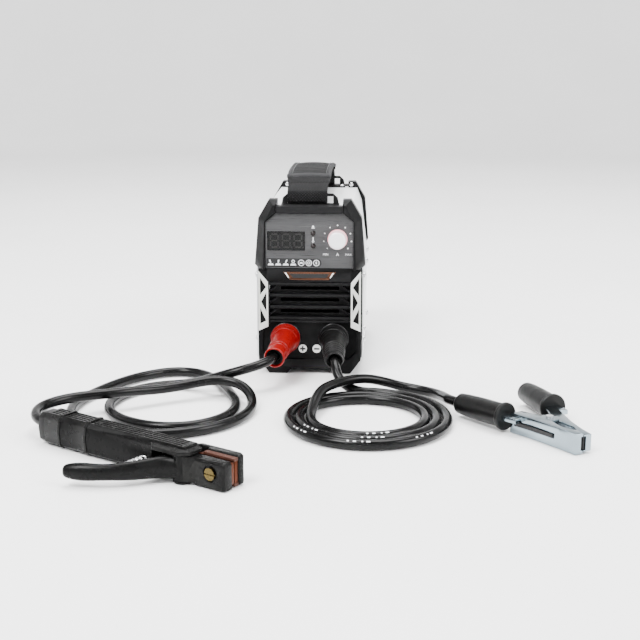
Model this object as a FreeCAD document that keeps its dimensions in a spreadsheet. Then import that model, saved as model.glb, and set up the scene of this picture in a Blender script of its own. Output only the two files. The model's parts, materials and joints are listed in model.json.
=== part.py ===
import FreeCAD, Part

import math
import os

import Sketcher
from FreeCAD import Placement, Rotation, Vector

# A small stick welding inverter with its two leads, in millimetres.
# The case stands on z = 0, centred on x = 0 and y = 0; the front panel looks towards -Y.
# The electrode holder and the earth clamp lie on the floor in front of the case.

doc = FreeCAD.newDocument("stick_welding_inverter")
sheet = doc.addObject("Spreadsheet::Sheet", "Sizes")

SIZES = [
    ("half_case", 100.0, "front face to middle of the case"),
    ("cover_half_width", 53.2, "side cover, outside"),
    ("cover_front", 88.0, "half length of the side cover"),
    ("cover_shoulder", 104.0, "height where the cover starts to taper"),
    ("cover_bevel", 153.0, "height where the cover's chamfer starts"),
    ("cover_top", 166.5, "top of the side cover"),
    ("cover_steel", 1.2, "sheet thickness of the side cover"),
    ("tray_wall", 1.6, "wall of the base tray"),
    ("tray_length", 168.0, "length of the base tray"),
    ("mask_half_width", 51.0, "front moulding, half width"),
    ("mask_depth", 13.0, "front moulding, front to back"),
    ("mask_front", 97.0, "front moulding's face from the middle"),
    ("bezel_top", 173.0, "top of the front and rear bumpers"),
    ("bezel_depth", 14.0, "straight part of a bumper"),
    ("bezel_slope", 12.0, "sloping part of a bumper"),
    ("panel_thick", 1.0, "control panel plate"),
    ("knob_radius", 9.6, "current knob"),
    ("knob_length", 12.0, "current knob, front to back"),
    ("shaft_radius", 3.0, "potentiometer shaft"),
    ("running_gap", 0.05, "radial clearance of a shaft in its bore"),
    ("window_width", 37.3, "digital display window"),
    ("window_height", 18.9, "digital display window"),
    ("socket_radius", 15.3, "front flange of an output socket"),
    ("socket_bore", 6.6, "bore of an output socket"),
    ("pin_radius", 6.4, "brass pin of a lead plug"),
    ("socket_height", 36.0, "height of the output sockets"),
    ("socket_spread", 24.0, "sockets left and right of the middle"),
    ("boot_radius", 14.8, "flange of a plug boot"),
    ("boot_tail", 9.6, "tail of a plug boot"),
    ("cable_radius", 4.5, "lead cable"),
    ("fan_half", 40.0, "half width of the fan"),
    ("fan_thick", 25.0, "fan, front to back"),
    ("fan_bore", 37.5, "air way of the fan"),
    ("fan_height", 84.0, "height of the fan's axis"),
    ("hub_radius", 15.0, "fan hub"),
    ("board_thick", 1.6, "circuit boards"),
    ("strap_width", 39.5, "carrying strap webbing"),
    ("strap_thick", 2.4, "carrying strap webbing"),
    ("strap_apex", 196.0, "top of the carrying strap"),
    ("rocker_length", 18.0, "power rocker"),
    ("handle_length", 120.0, "electrode holder grip"),
    ("lever_height", 20.0, "electrode holder lever hub"),
    ("clamp_height", 17.5, "earth clamp arms"),
    ("clamp_steel", 1.5, "sheet thickness of the earth clamp"),
    ("grip_radius", 10.6, "earth clamp grips"),
    ("rivet_radius", 3.0, "pivots of the holder and the clamp"),
]
for row, (alias, value, meaning) in enumerate(SIZES, start=1):
    sheet.set(f"A{row}", alias)
    sheet.set(f"B{row}", str(value))
    sheet.set(f"C{row}", meaning)
    sheet.setAlias(f"B{row}", alias)
doc.recompute()


def size(alias):
    return float(getattr(sheet, alias))


def number(what):
    return size(what) if isinstance(what, str) else float(what)


def bind(obj, prop, what):
    """Ties a property to a cell of the sheet, or sets a plain number."""
    if isinstance(what, str):
        obj.setExpression(prop, "Sizes." + what)
    else:
        setattr(obj, prop, what)


nodes = {}
X, Y, Z = Vector(1, 0, 0), Vector(0, 1, 0), Vector(0, 0, 1)


def keep(label, obj, placement=None):
    """Names a finished sub-part; its label is its file's name."""
    obj.Label = label
    if placement is not None:
        obj.Placement = placement
    nodes[label] = obj
    return obj


# ---------------------------------------------------------------- primitives

def box(dx, dy, dz, low):
    """A block from its low corner; each length is a number or a cell."""
    obj = doc.addObject("Part::Box", "block")
    bind(obj, "Length", dx)
    bind(obj, "Width", dy)
    bind(obj, "Height", dz)
    obj.Placement = Placement(Vector(*low), Rotation())
    return obj


def mid_box(dx, dy, dz, centre):
    """A block from the centre of its volume."""
    low = [centre[i] - number(d) / 2 for i, d in enumerate((dx, dy, dz))]
    return box(dx, dy, dz, low)


def cylinder(radius, length, foot, axis=Z):
    obj = doc.addObject("Part::Cylinder", "round")
    bind(obj, "Radius", radius)
    bind(obj, "Height", length)
    obj.Placement = Placement(Vector(*foot), Rotation(Z, axis))
    return obj


def cone(radius1, radius2, length, foot, axis=Z):
    obj = doc.addObject("Part::Cone", "taper")
    bind(obj, "Radius1", radius1)
    bind(obj, "Radius2", radius2)
    bind(obj, "Height", length)
    obj.Placement = Placement(Vector(*foot), Rotation(Z, axis))
    return obj


def torus(radius, wire, centre, axis=Z):
    obj = doc.addObject("Part::Torus", "ring")
    bind(obj, "Radius1", radius)
    bind(obj, "Radius2", wire)
    obj.Placement = Placement(Vector(*centre), Rotation(Z, axis))
    return obj


def fuse(*parts):
    obj = doc.addObject("Part::MultiFuse", "joined")
    obj.Shapes = list(parts)
    obj.Refine = True
    return obj


def cut(base, *tools):
    obj = doc.addObject("Part::Cut", "trimmed")
    obj.Base = base
    obj.Tool = tools[0] if len(tools) == 1 else fuse(*tools)
    obj.Refine = True
    return obj


def group(*parts):
    """Separate solids that share one node."""
    obj = doc.addObject("Part::Compound", "group")
    obj.Links = list(parts)
    return obj


def shape_of(shape):
    """A sub-part whose shape neither sketches nor primitives fit."""
    obj = doc.addObject("Part::Feature", "formed")
    obj.Shape = shape
    return obj


# ------------------------------------------------------- sketched plates

def add_outline(sketch, points):
    first = sketch.GeometryCount
    for i, (a, b) in enumerate(points):
        c, d = points[(i + 1) % len(points)]
        sketch.addGeometry(Part.LineSegment(Vector(a, b, 0), Vector(c, d, 0)), False)
    for i in range(len(points)):
        following = first + (i + 1) % len(points)
        sketch.addConstraint(Sketcher.Constraint("Coincident", first + i, 2, following, 1))


def add_circle(sketch, centre, radius):
    place = Vector(centre[0], centre[1], 0)
    index = sketch.addGeometry(Part.Circle(place, Z, number(radius)), False)
    if isinstance(radius, str):
        fixed = sketch.addConstraint(Sketcher.Constraint("Radius", index, number(radius)))
        sketch.setExpression(f"Constraints[{fixed}]", "Sizes." + radius)


def sketch_on(body, role, offset, name):
    """A sketch on one of the body's own planes, moved along that plane's normal."""
    sketch = body.newObject("Sketcher::SketchObject", name)
    plane = [f for f in body.Origin.OriginFeatures if f.Role == role][0]
    sketch.AttachmentSupport = (plane, "")
    sketch.MapMode = "FlatFace"
    sketch.AttachmentOffset = Placement(Vector(0, 0, offset), Rotation())
    return sketch


def plate(outline, front_y, depth, holes=(), circles=()):
    """A body padded from the plane y = front_y towards +Y, with through holes."""
    body = doc.addObject("PartDesign::Body", "plate")
    sketch = sketch_on(body, "XZ_Plane", -front_y, "outline")
    add_outline(sketch, outline)
    for hole in holes:
        add_outline(sketch, hole)
    for centre, radius in circles:
        add_circle(sketch, centre, radius)
    pad = body.newObject("PartDesign::Pad", "thickness")
    pad.Profile = sketch
    pad.Reversed = True
    bind(pad, "Length", depth)
    return body


def slab(outline, bottom_z, height, circles=()):
    """A body padded from the plane z = bottom_z upwards."""
    body = doc.addObject("PartDesign::Body", "slab")
    sketch = sketch_on(body, "XY_Plane", bottom_z, "outline")
    add_outline(sketch, outline)
    for centre, radius in circles:
        add_circle(sketch, centre, radius)
    pad = body.newObject("PartDesign::Pad", "height")
    pad.Profile = sketch
    bind(pad, "Length", height)
    return body


def pocket(body, outlines, front_y, depth):
    """Cuts outlines into a plate from y = front_y towards +Y and checks that it cut."""
    doc.recompute()
    before = body.Shape.Volume
    sketch = sketch_on(body, "XZ_Plane", -front_y, "recess")
    for outline in outlines:
        add_outline(sketch, outline)
    feature = body.newObject("PartDesign::Pocket", "recess_cut")
    feature.Profile = sketch
    bind(feature, "Length", depth)
    doc.recompute()
    if body.Shape.Volume > before - 1:
        raise RuntimeError(body.Label + ": the recess cuts nothing")
    return body


def revolved(profile, placement):
    """A body turned about its own Z axis from (radius, height) points."""
    body = doc.addObject("PartDesign::Body", "turned")
    sketch = sketch_on(body, "XZ_Plane", 0, "half_section")
    add_outline(sketch, profile)
    turn = body.newObject("PartDesign::Revolution", "turn")
    turn.Profile = sketch
    axis = [f for f in body.Origin.OriginFeatures if f.Role == "Z_Axis"][0]
    turn.ReferenceAxis = (axis, "")
    turn.Angle = 360
    body.Placement = placement
    return body


def mirrored(points):
    """Completes an outline given as its right half, from top to bottom."""
    return points + [(-a, b) for a, b in reversed(points)]


def facing(point, towards):
    """Placement of a turned body whose Z axis points along `towards`."""
    return Placement(Vector(*point), Rotation(Z, towards))


# ---------------------------------------------------------------- the case

FRONT = -size("half_case")
MASK_FRONT = -size("mask_front")
STEEL = size("cover_steel")
SIDE = size("cover_half_width")
SHOULDER = size("cover_shoulder")
BEVEL = size("cover_bevel")
TOP = size("cover_top")
PANEL_FRONT = -97.4
PANEL_BACK = PANEL_FRONT + size("panel_thick")
FOOT = [(22.6, 0), (18.5, 5)]
SCREW_CORNERS = [(-1, -1), (-1, 1), (1, -1), (1, 1)]
FAN_PITCH = 32.0
BOARD_TOP = 24.8
BAR_TOP = 168.0
BRACKET_AT = 80.0


def cover_profile(inset):
    """Right half of the cover's section, moved inwards by `inset`."""
    return [
        (42.0 - inset * 0.6, TOP - inset),
        (47.2 - inset * 0.95, BEVEL - inset * 0.3),
        (SIDE - inset, SHOULDER),
        (SIDE - inset, 14),
    ]


def make_cover():
    outer = cover_profile(0)
    inner = cover_profile(STEEL)
    outline = outer + list(reversed(inner))
    outline += [(-a, b) for a, b in inner] + [(-a, b) for a, b in reversed(outer)]
    cover = plate(outline, -size("cover_front"), 2 * size("cover_front"))
    for vertical in (62, 70, 78, 86, 94):
        slot = mid_box(130, 26, 3, (0, -40, vertical))
        cover = cut(cover, slot)
        cover = cut(cover, mid_box(130, 26, 3, (0, 42, vertical)))
    keep("side_cover", cover)


def make_base_tray():
    wall = size("tray_wall")
    outer = [(51.7, 34), (51.7, 14), (40.7, 0)] + FOOT
    inner = [(51.7 - wall, 34), (51.7 - wall, 14.6), (40, wall), (23.4, wall), (19.3, 5 + wall)]
    outline = outer + [(-a, b) for a, b in reversed(outer)] + [(-a, b) for a, b in inner]
    outline += list(reversed(inner))
    length = size("tray_length")
    tray = plate(outline, -length / 2, "tray_length")
    bar = mid_box(40, 14, 5.2, (0, 0, 2.6))
    ends = [mid_box(100, wall, 8, (0, side * (length / 2 - wall / 2), 18.4)) for side in (-1, 1)]
    top = BOARD_TOP - size("board_thick")
    pillars = [cylinder(2.6, top - 5, (a * 15, -3 + b * 58, 5)) for a, b in SCREW_CORNERS]
    keep("base_tray", fuse(tray, bar, *ends, *pillars))


def make_front_mask():
    half = size("mask_half_width")
    outline = mirrored([(42.0, 106.8), (42.0, 105.3), (half - 1.2, 105.3), (half, 104), (half, 14), (40.7, 0)]
                       + FOOT)
    louvre_hole = mirrored([(40, 93), (40, 54.5)])
    mask = plate(outline, MASK_FRONT, "mask_depth", holes=[louvre_hole])
    octagon = mirrored([(38, 52), (46.5, 43), (46.5, 22), (39, 14.6)])
    mask = pocket(mask, [octagon], MASK_FRONT, 3.0)
    bores = []
    for side in (-1, 1):
        at = (side * size("socket_spread"), MASK_FRONT - 1, size("socket_height"))
        bores.append(cylinder(12.4, 30, at, Y))
    hollow = mid_box(92, 8, 74, (0, MASK_FRONT + 10.5, 53))
    marks = [cylinder(4.2, 1.5, (x, MASK_FRONT + 2.2, 24.7), Y) for x in (-7, 7)]
    keep("front_mask", cut(mask, *bores, hollow, *marks))


def make_louvre():
    """Four bars with angled ends over a stepped back plate with air slots."""
    parts = [mid_box(79.6, 2, 38.2, (0, MASK_FRONT + 7, 73.75))]
    slots = []
    for z in (91, 79.4, 67.8, 56.4):
        parts.append(mid_box(79.6, 6.5, 2.6, (0, MASK_FRONT + 3.0, z)))
        for side in (-1, 1):
            strut = mid_box(13, 5.5, 1.6, (0, 0, 0))
            tilt = Rotation(Y, side * 36)
            strut.Placement = Placement(Vector(side * 34.6, MASK_FRONT + 3.3, z - 4.4), tilt).multiply(
                Placement(Vector(-6.5, -2.75, -0.8), Rotation()))
            if z > 60:
                parts.append(strut)
            else:
                doc.removeObject(strut.Name)
        if z > 60:
            slots.append(mid_box(58, 6, 3.2, (0, MASK_FRONT + 8, z - 5.2)))
    keep("front_louvre", cut(fuse(*parts), *slots))


def bezel_outline(shrink):
    """Right half of a bumper's outline; `shrink` moves it inwards."""
    return [
        (40.5 - shrink * 0.7, size("bezel_top") - shrink * 0.55),
        (51.0 - shrink, 155.0 - shrink * 0.3),
        (54.8 - shrink * 1.25, 109.0),
        (51.8 - shrink * 0.8, 105.6),
    ]


PANEL_EDGE = [(33.6, 161.4), (44.0, 152.6), (44.0, 105.6)]


def bumper(front_face, direction):
    """A bumper: straight band plus a sloping front, from its outer face inwards."""
    depth, slope = size("bezel_depth"), size("bezel_slope")
    y_slope = front_face + direction * slope
    ring = []
    for shrink, y in ((7.5, front_face), (0, y_slope), (0, y_slope + direction * depth)):
        wire = Part.makePolygon(
            [Vector(a, y, b) for a, b in mirrored(bezel_outline(shrink))]
            + [Vector(bezel_outline(shrink)[0][0], y, bezel_outline(shrink)[0][1])])
        ring.append(wire)
    sloping = Part.makeLoft(ring[:2], True, True)
    straight = Part.makeLoft(ring[1:], True, True)
    body = sloping.fuse(straight).removeSplitter()
    return shape_of(body)


def cover_clearance(low_y, length):
    """The space that the side cover and what is behind it take up inside a bumper."""
    profile = [(a + 0.25, b + 0.25) for a, b in cover_profile(0)[:3]] + [(SIDE + 0.25, 90)]
    outline = mirrored(profile)
    return plate(outline, low_y, length)


def make_front_bezel():
    body = bumper(FRONT, 1)
    opening = plate(mirrored(PANEL_EDGE + [(44.0, 90)]), FRONT - 1, PANEL_BACK - FRONT + 1)
    ledge = plate(mirrored([(31.6, 158.8), (42.4, 150.4), (42.4, 90)]), FRONT, 40)
    gaps = [mid_box(1.4, 4, 16, (side * 33.0, FRONT + 1, 168)) for side in (-1, 1)]
    clearance = cover_clearance(-size("cover_front") - 0.4, 40)
    keep("front_bezel", cut(body, opening, ledge, clearance, *bumper_recess(-1), *gaps))


def bumper_recess(side):
    """The top between a bumper's corner blocks is low, and open round the strap's bracket."""
    low_bar = mid_box(64.8, 30, 8, (0, side * 87.0, BAR_TOP + 4))
    bay = mid_box(64.8, 15.4, 8, (0, side * 80.0, TOP + 4.2))
    return [low_bar, bay]


def make_panel():
    outline = mirrored([(33.0, 160.8), (43.2, 152.2), (43.2, 107.0)])
    window = rectangle(-22.85, 133.75, size("window_width"), size("window_height"))
    lamps = [((3.7, z), 2.55) for z in (141.6, 128.8)]
    panel = plate(outline, PANEL_FRONT, "panel_thick", holes=[window],
                  circles=lamps + [((KNOB[0], KNOB[1]), 3.6)])
    keep("control_panel", panel)


def rectangle(cx, cz, width, height):
    a, b = width / 2, height / 2
    return [(cx - a, cz - b), (cx + a, cz - b), (cx + a, cz + b), (cx - a, cz + b)]


KNOB = (27.6, 136.0)


def make_display():
    window = mid_box(37.1, 1.2, 18.7, (-22.85, PANEL_FRONT + 0.4, 133.75))
    keep("display_window", window)
    keep("display_module", mid_box(37.6, 8, 19.2, (-22.85, PANEL_FRONT + 6.0, 133.75)))
    segments = []
    for digit in (-1, 0, 1):
        cx = -22.85 + digit * 11.6
        for z in (-6.4, 0, 6.4):
            segments.append(mid_box(5.6, 0.5, 1.3, (cx, PANEL_FRONT + 1.7, 133.75 + z)))
        for side in (-1, 1):
            for z in (-3.2, 3.2):
                segments.append(mid_box(1.3, 0.5, 4.6, (cx + side * 3.7, PANEL_FRONT + 1.7, 133.75 + z)))
        segments.append(cylinder(0.7, 0.5, (cx + 5.2, PANEL_FRONT + 1.45, 133.75 - 6.6), Y))
    keep("display_segments", group(*segments))
    lamps = []
    for z in (141.6, 128.8):
        lamps.append(revolved([(0, 0), (2.45, 0), (2.45, 4.0), (2.0, 4.9), (1.2, 5.4), (0, 5.6)],
                              facing((3.7, PANEL_FRONT + 4.6, z), -Y)))
    keep("status_lamps", group(*lamps))


def make_knob():
    radius, length = size("knob_radius"), size("knob_length")
    bore = size("shaft_radius")
    profile = [(bore, 1), (bore, 9), (0, 9), (0, length), (radius - 2.4, length),
               (radius - 1.2, length - 0.8), (radius - 0.9, 2.4), (radius, 1.4), (radius, 0),
               (6.5, 0), (6.5, 1)]
    knob = revolved(profile, facing((KNOB[0], PANEL_FRONT - 0.5, KNOB[1]), -Y))
    keep("current_knob", knob)
    # The knob is pressed on the shaft, which turns in the potentiometer's bush.
    shaft = cylinder("shaft_radius", 20.0, (KNOB[0], PANEL_FRONT - 9.0, KNOB[1]), Y)
    keep("potentiometer_shaft", shaft)
    bush = cut(fuse(cylinder(3.5, 6.5, (KNOB[0], PANEL_FRONT + 0.4, KNOB[1]), Y),
                    cylinder(8.2, 8.0, (KNOB[0], PANEL_FRONT + 6.6, KNOB[1]), Y)),
               cylinder(size("shaft_radius") + size("running_gap"), 12.0,
                        (KNOB[0], PANEL_FRONT + 0.2, KNOB[1]), Y))
    keep("potentiometer", bush)
    board = cut(mid_box(82, "board_thick", 44, (0, PANEL_FRONT + 15.6, 132.0)),
                mid_box(20, 4, 8, (20, PANEL_FRONT + 15.6, 112)))
    keep("control_board", board)


def make_trim():
    """Silver lattice grilles on the front's corners, the badge and the polarity marks."""
    grilles = []
    for side in (-1, 1):
        outer = [(50.6, 104.0), (41.0, 92.6), (41.0, 47.6), (50.6, 43.4)]
        holes = [
            [(48.9, 97.2), (42.9, 87.6), (48.9, 79.8)],
            [(42.7, 82.6), (47.9, 72.6), (42.7, 62.6)],
            [(48.9, 66.4), (42.9, 53.6), (48.9, 50.4)],
        ]
        flip = [[(side * a, b) for a, b in loop] for loop in [outer] + holes]
        grilles.append(plate(flip[0], MASK_FRONT - 1.0, 1.0, holes=flip[1:]))
    keep("side_grilles", group(*grilles))
    badge = plate([(-26, 103.2), (26, 103.2), (19, 95.2), (-19, 95.2)], MASK_FRONT - 1.4, 1.4)
    inner = [(-21.5, 101.9), (21.5, 101.9), (17.3, 96.5), (-17.3, 96.5)]
    keep("badge_plate", pocket(badge, [inner], MASK_FRONT - 1.4, 0.6))
    discs = []
    for x in (-7, 7):
        disc = cylinder(4.1, 1.6, (x, MASK_FRONT + 2.0, 24.7), Y)
        strokes = [mid_box(5.0, 0.8, 1.2, (x, MASK_FRONT + 2.0, 24.7))]
        if x < 0:
            strokes.append(mid_box(1.2, 0.8, 5.0, (x, MASK_FRONT + 2.0, 24.7)))
        discs.append(cut(disc, *strokes))
    keep("polarity_marks", group(*discs))


def make_sockets():
    """Insulating collars in the front, brass bushes behind them."""
    z = size("socket_height")
    face = MASK_FRONT + 3.0
    collars, bushes = [], []
    for side in (-1, 1):
        x = side * size("socket_spread")
        collar = fuse(cylinder("socket_radius", 3.0, (x, face - 3.0, z), Y),
                      cylinder(12.3, 18.0, (x, face - 0.1, z), Y))
        collars.append(cut(collar, cylinder(8.4, 30, (x, face - 5, z), Y)))
        bush = fuse(cylinder(8.4, 20.0, (x, face + 1.0, z), Y), cylinder(10.5, 6.0, (x, face + 18.0, z), Y))
        bushes.append(cut(bush, cylinder("socket_bore", 16.0, (x, face - 1.0, z), Y)))
    keep("socket_collars", group(*collars))
    keep("socket_bushes", group(*bushes))


def make_rear():
    rear = -FRONT
    body = bumper(rear, -1)
    opening = plate(mirrored(PANEL_EDGE + [(44.0, 90)]), rear - 40, 41)
    clearance = cover_clearance(size("cover_front") - 40 + 0.4, 40)
    keep("rear_bezel", cut(body, opening, clearance, *bumper_recess(1)))
    half = size("mask_half_width")
    outline = mirrored([(33.2, 161.0), (43.6, 152.2), (43.6, 105.3), (half - 1.2, 105.3), (half, 104),
                        (half, 14), (40.7, 0)] + FOOT)
    fan_z = size("fan_height")
    panel = plate(outline, 94.0, 3.0, circles=[((0, fan_z), "fan_bore"), ((-26, 24.5), 9.0)],
                  holes=[rectangle(26, 30.5, 19.4, 13.0)])
    rim_outside = mirrored([(half, 104), (half, 14), (40.7, 0)] + FOOT)
    rim_inside = mirrored([(half - 2.4, 104), (half - 2.4, 15), (40, 3), (17, 7.5)])
    rim = plate(rim_outside + list(reversed(rim_inside)), 86.0, 8.0)
    keep("rear_panel", fuse(panel, rim))


def make_fan():
    z = size("fan_height")
    half, bore = size("fan_half"), size("fan_bore")
    thick = size("fan_thick")
    back = 94.0 - thick
    frame = cut(mid_box(2 * half, "fan_thick", 2 * half, (0, back + thick / 2, z)),
                cylinder(bore, thick + 2, (0, back - 1, z), Y))
    spider = [cylinder(14.0, 3.0, (0, back, z), Y)]
    for k in range(4):
        arm = box(half - 8.0, 3.0, 3.6, (0, 0, -1.8))
        arm.Placement = Placement(Vector(0, back, z), Rotation(Y, 45 + 90 * k)).multiply(
            Placement(Vector(9.0, 0, -1.8), Rotation()))
        spider.append(arm)
    stub = cylinder(size("rivet_radius"), 12.0, (0, back + 1, z), Y)
    keep("fan_frame", fuse(frame, *spider, stub))
    rotor = [cut(cylinder("hub_radius", 16.0, (0, back + 4.5, z), Y),
                 cylinder(size("rivet_radius") + size("running_gap"), 10.0, (0, back + 4.0, z), Y))]
    for k in range(7):
        blade = shape_of(fan_blade())
        blade.Placement = Placement(Vector(0, back + 12.5, z), Rotation(Y, 360 / 7 * k))
        rotor.append(blade)
    keep("fan_rotor", fuse(*rotor))
    rings = [torus(r, 0.9, (0, 98.2, z), Y) for r in (12, 20, 28, 35.6)]
    spokes = []
    for k in range(4):
        spoke = cylinder(0.9, 70.0, (0, 0, -35.0))
        spoke.Placement = Placement(Vector(0, 98.2, z), Rotation(Y, 45 * k + 22.5)).multiply(
            Placement(Vector(0, 0, -35.0), Rotation()))
        spokes.append(spoke)
    lugs = []
    for a, b in SCREW_CORNERS:
        lug = cut(cylinder(3.6, 1.2, (a * FAN_PITCH, 97.0, z + b * FAN_PITCH), Y),
                  cylinder(1.7, 3, (a * FAN_PITCH, 96, z + b * FAN_PITCH), Y))
        link = mid_box(8.6, 1.2, 2.4, (0, 0, 0))
        inner_end = Vector(a * (FAN_PITCH - 5.2), 97.6, z + b * (FAN_PITCH - 5.2))
        link.Placement = Placement(inner_end, Rotation(Y, -45 * a * b)).multiply(
            Placement(Vector(-4.3, -0.6, -1.2), Rotation()))
        lugs += [lug, link]
    keep("fan_guard", fuse(*rings, *spokes, *lugs))


def fan_blade():
    """One blade, lofted from a steep root to a flatter tip."""
    sections = []
    for radius, pitch, chord in ((14.0, 44, 11.5), (25.0, 34, 16.0), (35.6, 27, 19.0)):
        corners = []
        for a, b in ((-1, -1), (1, -1), (1, 1), (-1, 1)):
            u, v = a * chord / 2, b * 0.7
            turn = math.radians(pitch)
            corners.append(Vector(u * math.cos(turn) - v * math.sin(turn),
                                  u * math.sin(turn) + v * math.cos(turn), radius))
        sections.append(Part.makePolygon(corners + corners[:1]))
    return Part.makeLoft(sections, True, True)


def make_switch_and_gland():
    x, z = 26.0, 30.5
    housing = cut(fuse(mid_box(22.4, 2.2, 15.6, (x, 98.1, z)), mid_box(19.2, 20, 12.8, (x, 87.5, z))),
                  mid_box("rocker_length", 16, 10.4, (x, 93.2, z)))
    pivot = cylinder(1.2, 10.6, (x, 95.5, z - 5.3))
    keep("power_switch_housing", fuse(housing, pivot))
    profile = [(-7.4, -3.2), (7.4, -3.2), (7.4, 1.2), (0, 2.6), (-7.4, 4.8)]
    rocker = slab([(x + a, 96.4 + b) for a, b in profile], z - 4.9, 9.8,
                  circles=[((x, 95.5), 1.25)])
    keep("power_rocker", rocker)
    gland = fuse(cylinder(8.8, 12, (-26, 88, 24.5), Y), hexagon(11.5, 5.0, (-26, 97.0, 24.5)),
                 cone(9.8, 7.0, 10.0, (-26, 102.0, 24.5), Y))
    nut = cut(hexagon(12.0, 4.0, (-26, 89.9, 24.5)), cylinder(8.8, 8, (-26, 88, 24.5), Y))
    keep("mains_gland", group(cut(gland, cylinder(4.0, 40, (-26, 80, 24.5), Y)), nut))


def hexagon(radius, length, foot):
    prism = doc.addObject("Part::Prism", "hexagon")
    prism.Polygon = 6
    prism.Circumradius = radius
    prism.Height = length
    prism.Placement = Placement(Vector(*foot), Rotation(Z, Y))
    return prism


def make_internals():
    """What the case holds: power board, heat sinks, capacitors, transformer, choke, output bars."""
    thick = size("board_thick")
    keep("main_board", mid_box(98, 130, "board_thick", (0, -3, BOARD_TOP - thick / 2)))
    sinks = []
    for side in (-1, 1):
        base = mid_box(4, 50, 46, (side * 15, 5, BOARD_TOP + 23))
        fins = [mid_box(16, 50, 1.4, (side * 24, 5, BOARD_TOP + 3 + 6.6 * k)) for k in range(7)]
        sinks.append(fuse(base, *fins))
    keep("heat_sinks", group(*sinks))
    chips = [mid_box(4.6, 15, 21, (side * 10.6, -12 + 17 * k, BOARD_TOP + 14))
             for side in (-1, 1) for k in range(3)]
    keep("power_transistors", group(*chips))
    cans = [cylinder(11.0, 42, (x, -34, BOARD_TOP)) for x in (-36, -12, 12, 36)]
    keep("filter_capacitors", group(*cans))
    middle = (-12, 46, BOARD_TOP + 22)
    core = cut(mid_box(46, 20, 44, middle), mid_box(32, 22, 30, middle))
    keep("transformer_core", fuse(core, mid_box(12, 20, 32, middle)))
    keep("transformer_winding", cut(mid_box(28, 27, 29.6, middle), mid_box(12.2, 20.2, 40, middle)))
    keep("output_choke", torus(9.5, 4.5, (36.5, 46, BOARD_TOP + 14.0), X))
    bars = []
    for side in (-1, 1):
        x = side * size("socket_spread")
        bars.append(fuse(mid_box(12, 3, 22.8, (x, -68.5, 36.2)), mid_box(12, 17, 3, (x, -60, 26.3))))
    keep("bus_bars", group(*bars))


# ------------------------------------------------------- strap and brackets

STRAP_END = 84.2
STRAP_BASE = 181.5
STRAP_SHIFT = -2.7


def strap_height(y):
    """Height of the webbing's upper face; steep at its ends, nearly flat on top."""
    rise = size("strap_apex") - STRAP_BASE
    return STRAP_BASE + rise * (1 - (abs(y) / STRAP_END) ** 3.2)


def arch(low_offset, thick, y_from, y_to, width, steps):
    """A strip that follows the strap's curve."""
    upper, lower = [], []
    for k in range(steps + 1):
        y = y_from + (y_to - y_from) * k / steps
        slope = (strap_height(y + 0.01) - strap_height(y - 0.01)) / 0.02
        length = math.hypot(1, slope)
        normal = Vector(0, -slope / length, 1 / length)
        point = Vector(0, y, strap_height(y)) - normal * low_offset
        upper.append(point)
        lower.append(point - normal * thick)
    shift = Vector(STRAP_SHIFT - width / 2, 0, 0)
    curve_up = Part.BSplineCurve()
    curve_up.interpolate([p + shift for p in upper])
    curve_low = Part.BSplineCurve()
    curve_low.interpolate([p + shift for p in lower])
    edges = [curve_up.toShape(), Part.makeLine(upper[-1] + shift, lower[-1] + shift),
             curve_low.toShape(), Part.makeLine(lower[0] + shift, upper[0] + shift)]
    face = Part.Face(Part.Wire(Part.__sortEdges__(edges)))
    return face.extrude(Vector(width, 0, 0))


def strap_loop(side):
    """Webbing folded over a bracket's top bar: down outside, back through the slot and up inside."""
    width, thick = size("strap_width"), size("strap_thick")
    fold = cylinder(1.7, "strap_width", (STRAP_SHIFT - width / 2, side * 83.7, STRAP_BASE - 1.1), X)
    down = mid_box("strap_width", thick, 12.6, (STRAP_SHIFT, side * STRAP_END, STRAP_BASE - 6.1))
    through = mid_box("strap_width", 8.0, thick, (STRAP_SHIFT, side * (STRAP_END - 2.8), 170.4))
    flap = mid_box("strap_width", thick, 9.8, (STRAP_SHIFT, side * (STRAP_END - 5.6), 174.1))
    return [fold, down, through, flap]


def make_strap():
    width, thick = size("strap_width"), size("strap_thick")
    band = shape_of(arch(0.0, thick, -STRAP_END, STRAP_END, width, 16))
    keep("strap_webbing", fuse(band, *strap_loop(-1), *strap_loop(1)))
    keep("strap_pad", shape_of(arch(-3.0, 2.8, -58.0, 58.0, width + 4.5, 12)))
    brackets = []
    for side in (-1, 1):
        outline = mirrored([(22.5, 178.6), (27.0, 174.5), (28.5, TOP + 0.3)])
        hole = rectangle(0, 172.5, 45.2, 7.0)
        loop = plate(outline, side * (BRACKET_AT + 1.4) - 1.5, 3.0, holes=[hole])
        brackets.append(fuse(loop, mid_box(57, 14, 1.4, (0, side * BRACKET_AT, TOP + 1.0))))
    keep("strap_brackets", group(*brackets))


def screw(at, axis, radius=2.6, length=5.0):
    """A domed screw head outside the sheet with its thread inside."""
    profile = [(0, -length), (1.5, -length), (1.5, 0), (radius, 0), (radius * 0.95, radius * 0.34),
               (radius * 0.68, radius * 0.64), (radius * 0.34, radius * 0.77), (0, radius * 0.8)]
    return revolved(profile, facing(at, axis))


def make_screws():
    screws = []
    for side in (-1, 1):
        for y, z in ((-80, 97), (-80, 32), (-52, 36), (56, 88), (78, 24), (78, 97)):
            screws.append(screw((side * (SIDE + 0.02), y, z), X * side, 3.2))
    for side in (-1, 1):
        for x in (-1, 1):
            screws.append(screw((x * 25.4, side * 75.8, TOP + 1.72), Z, 2.5, 6.0))
            screws.append(screw((x * 35.6, side * 73.98, 170.0), Y * -side, 2.3))
    z = size("fan_height")
    screws += [screw((a * FAN_PITCH, 98.2, z + b * FAN_PITCH), Y, 3.0, 20.0) for a, b in SCREW_CORNERS]
    keep("case_screws", group(*screws))


# ---------------------------------------------------------------- plugs

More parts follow.
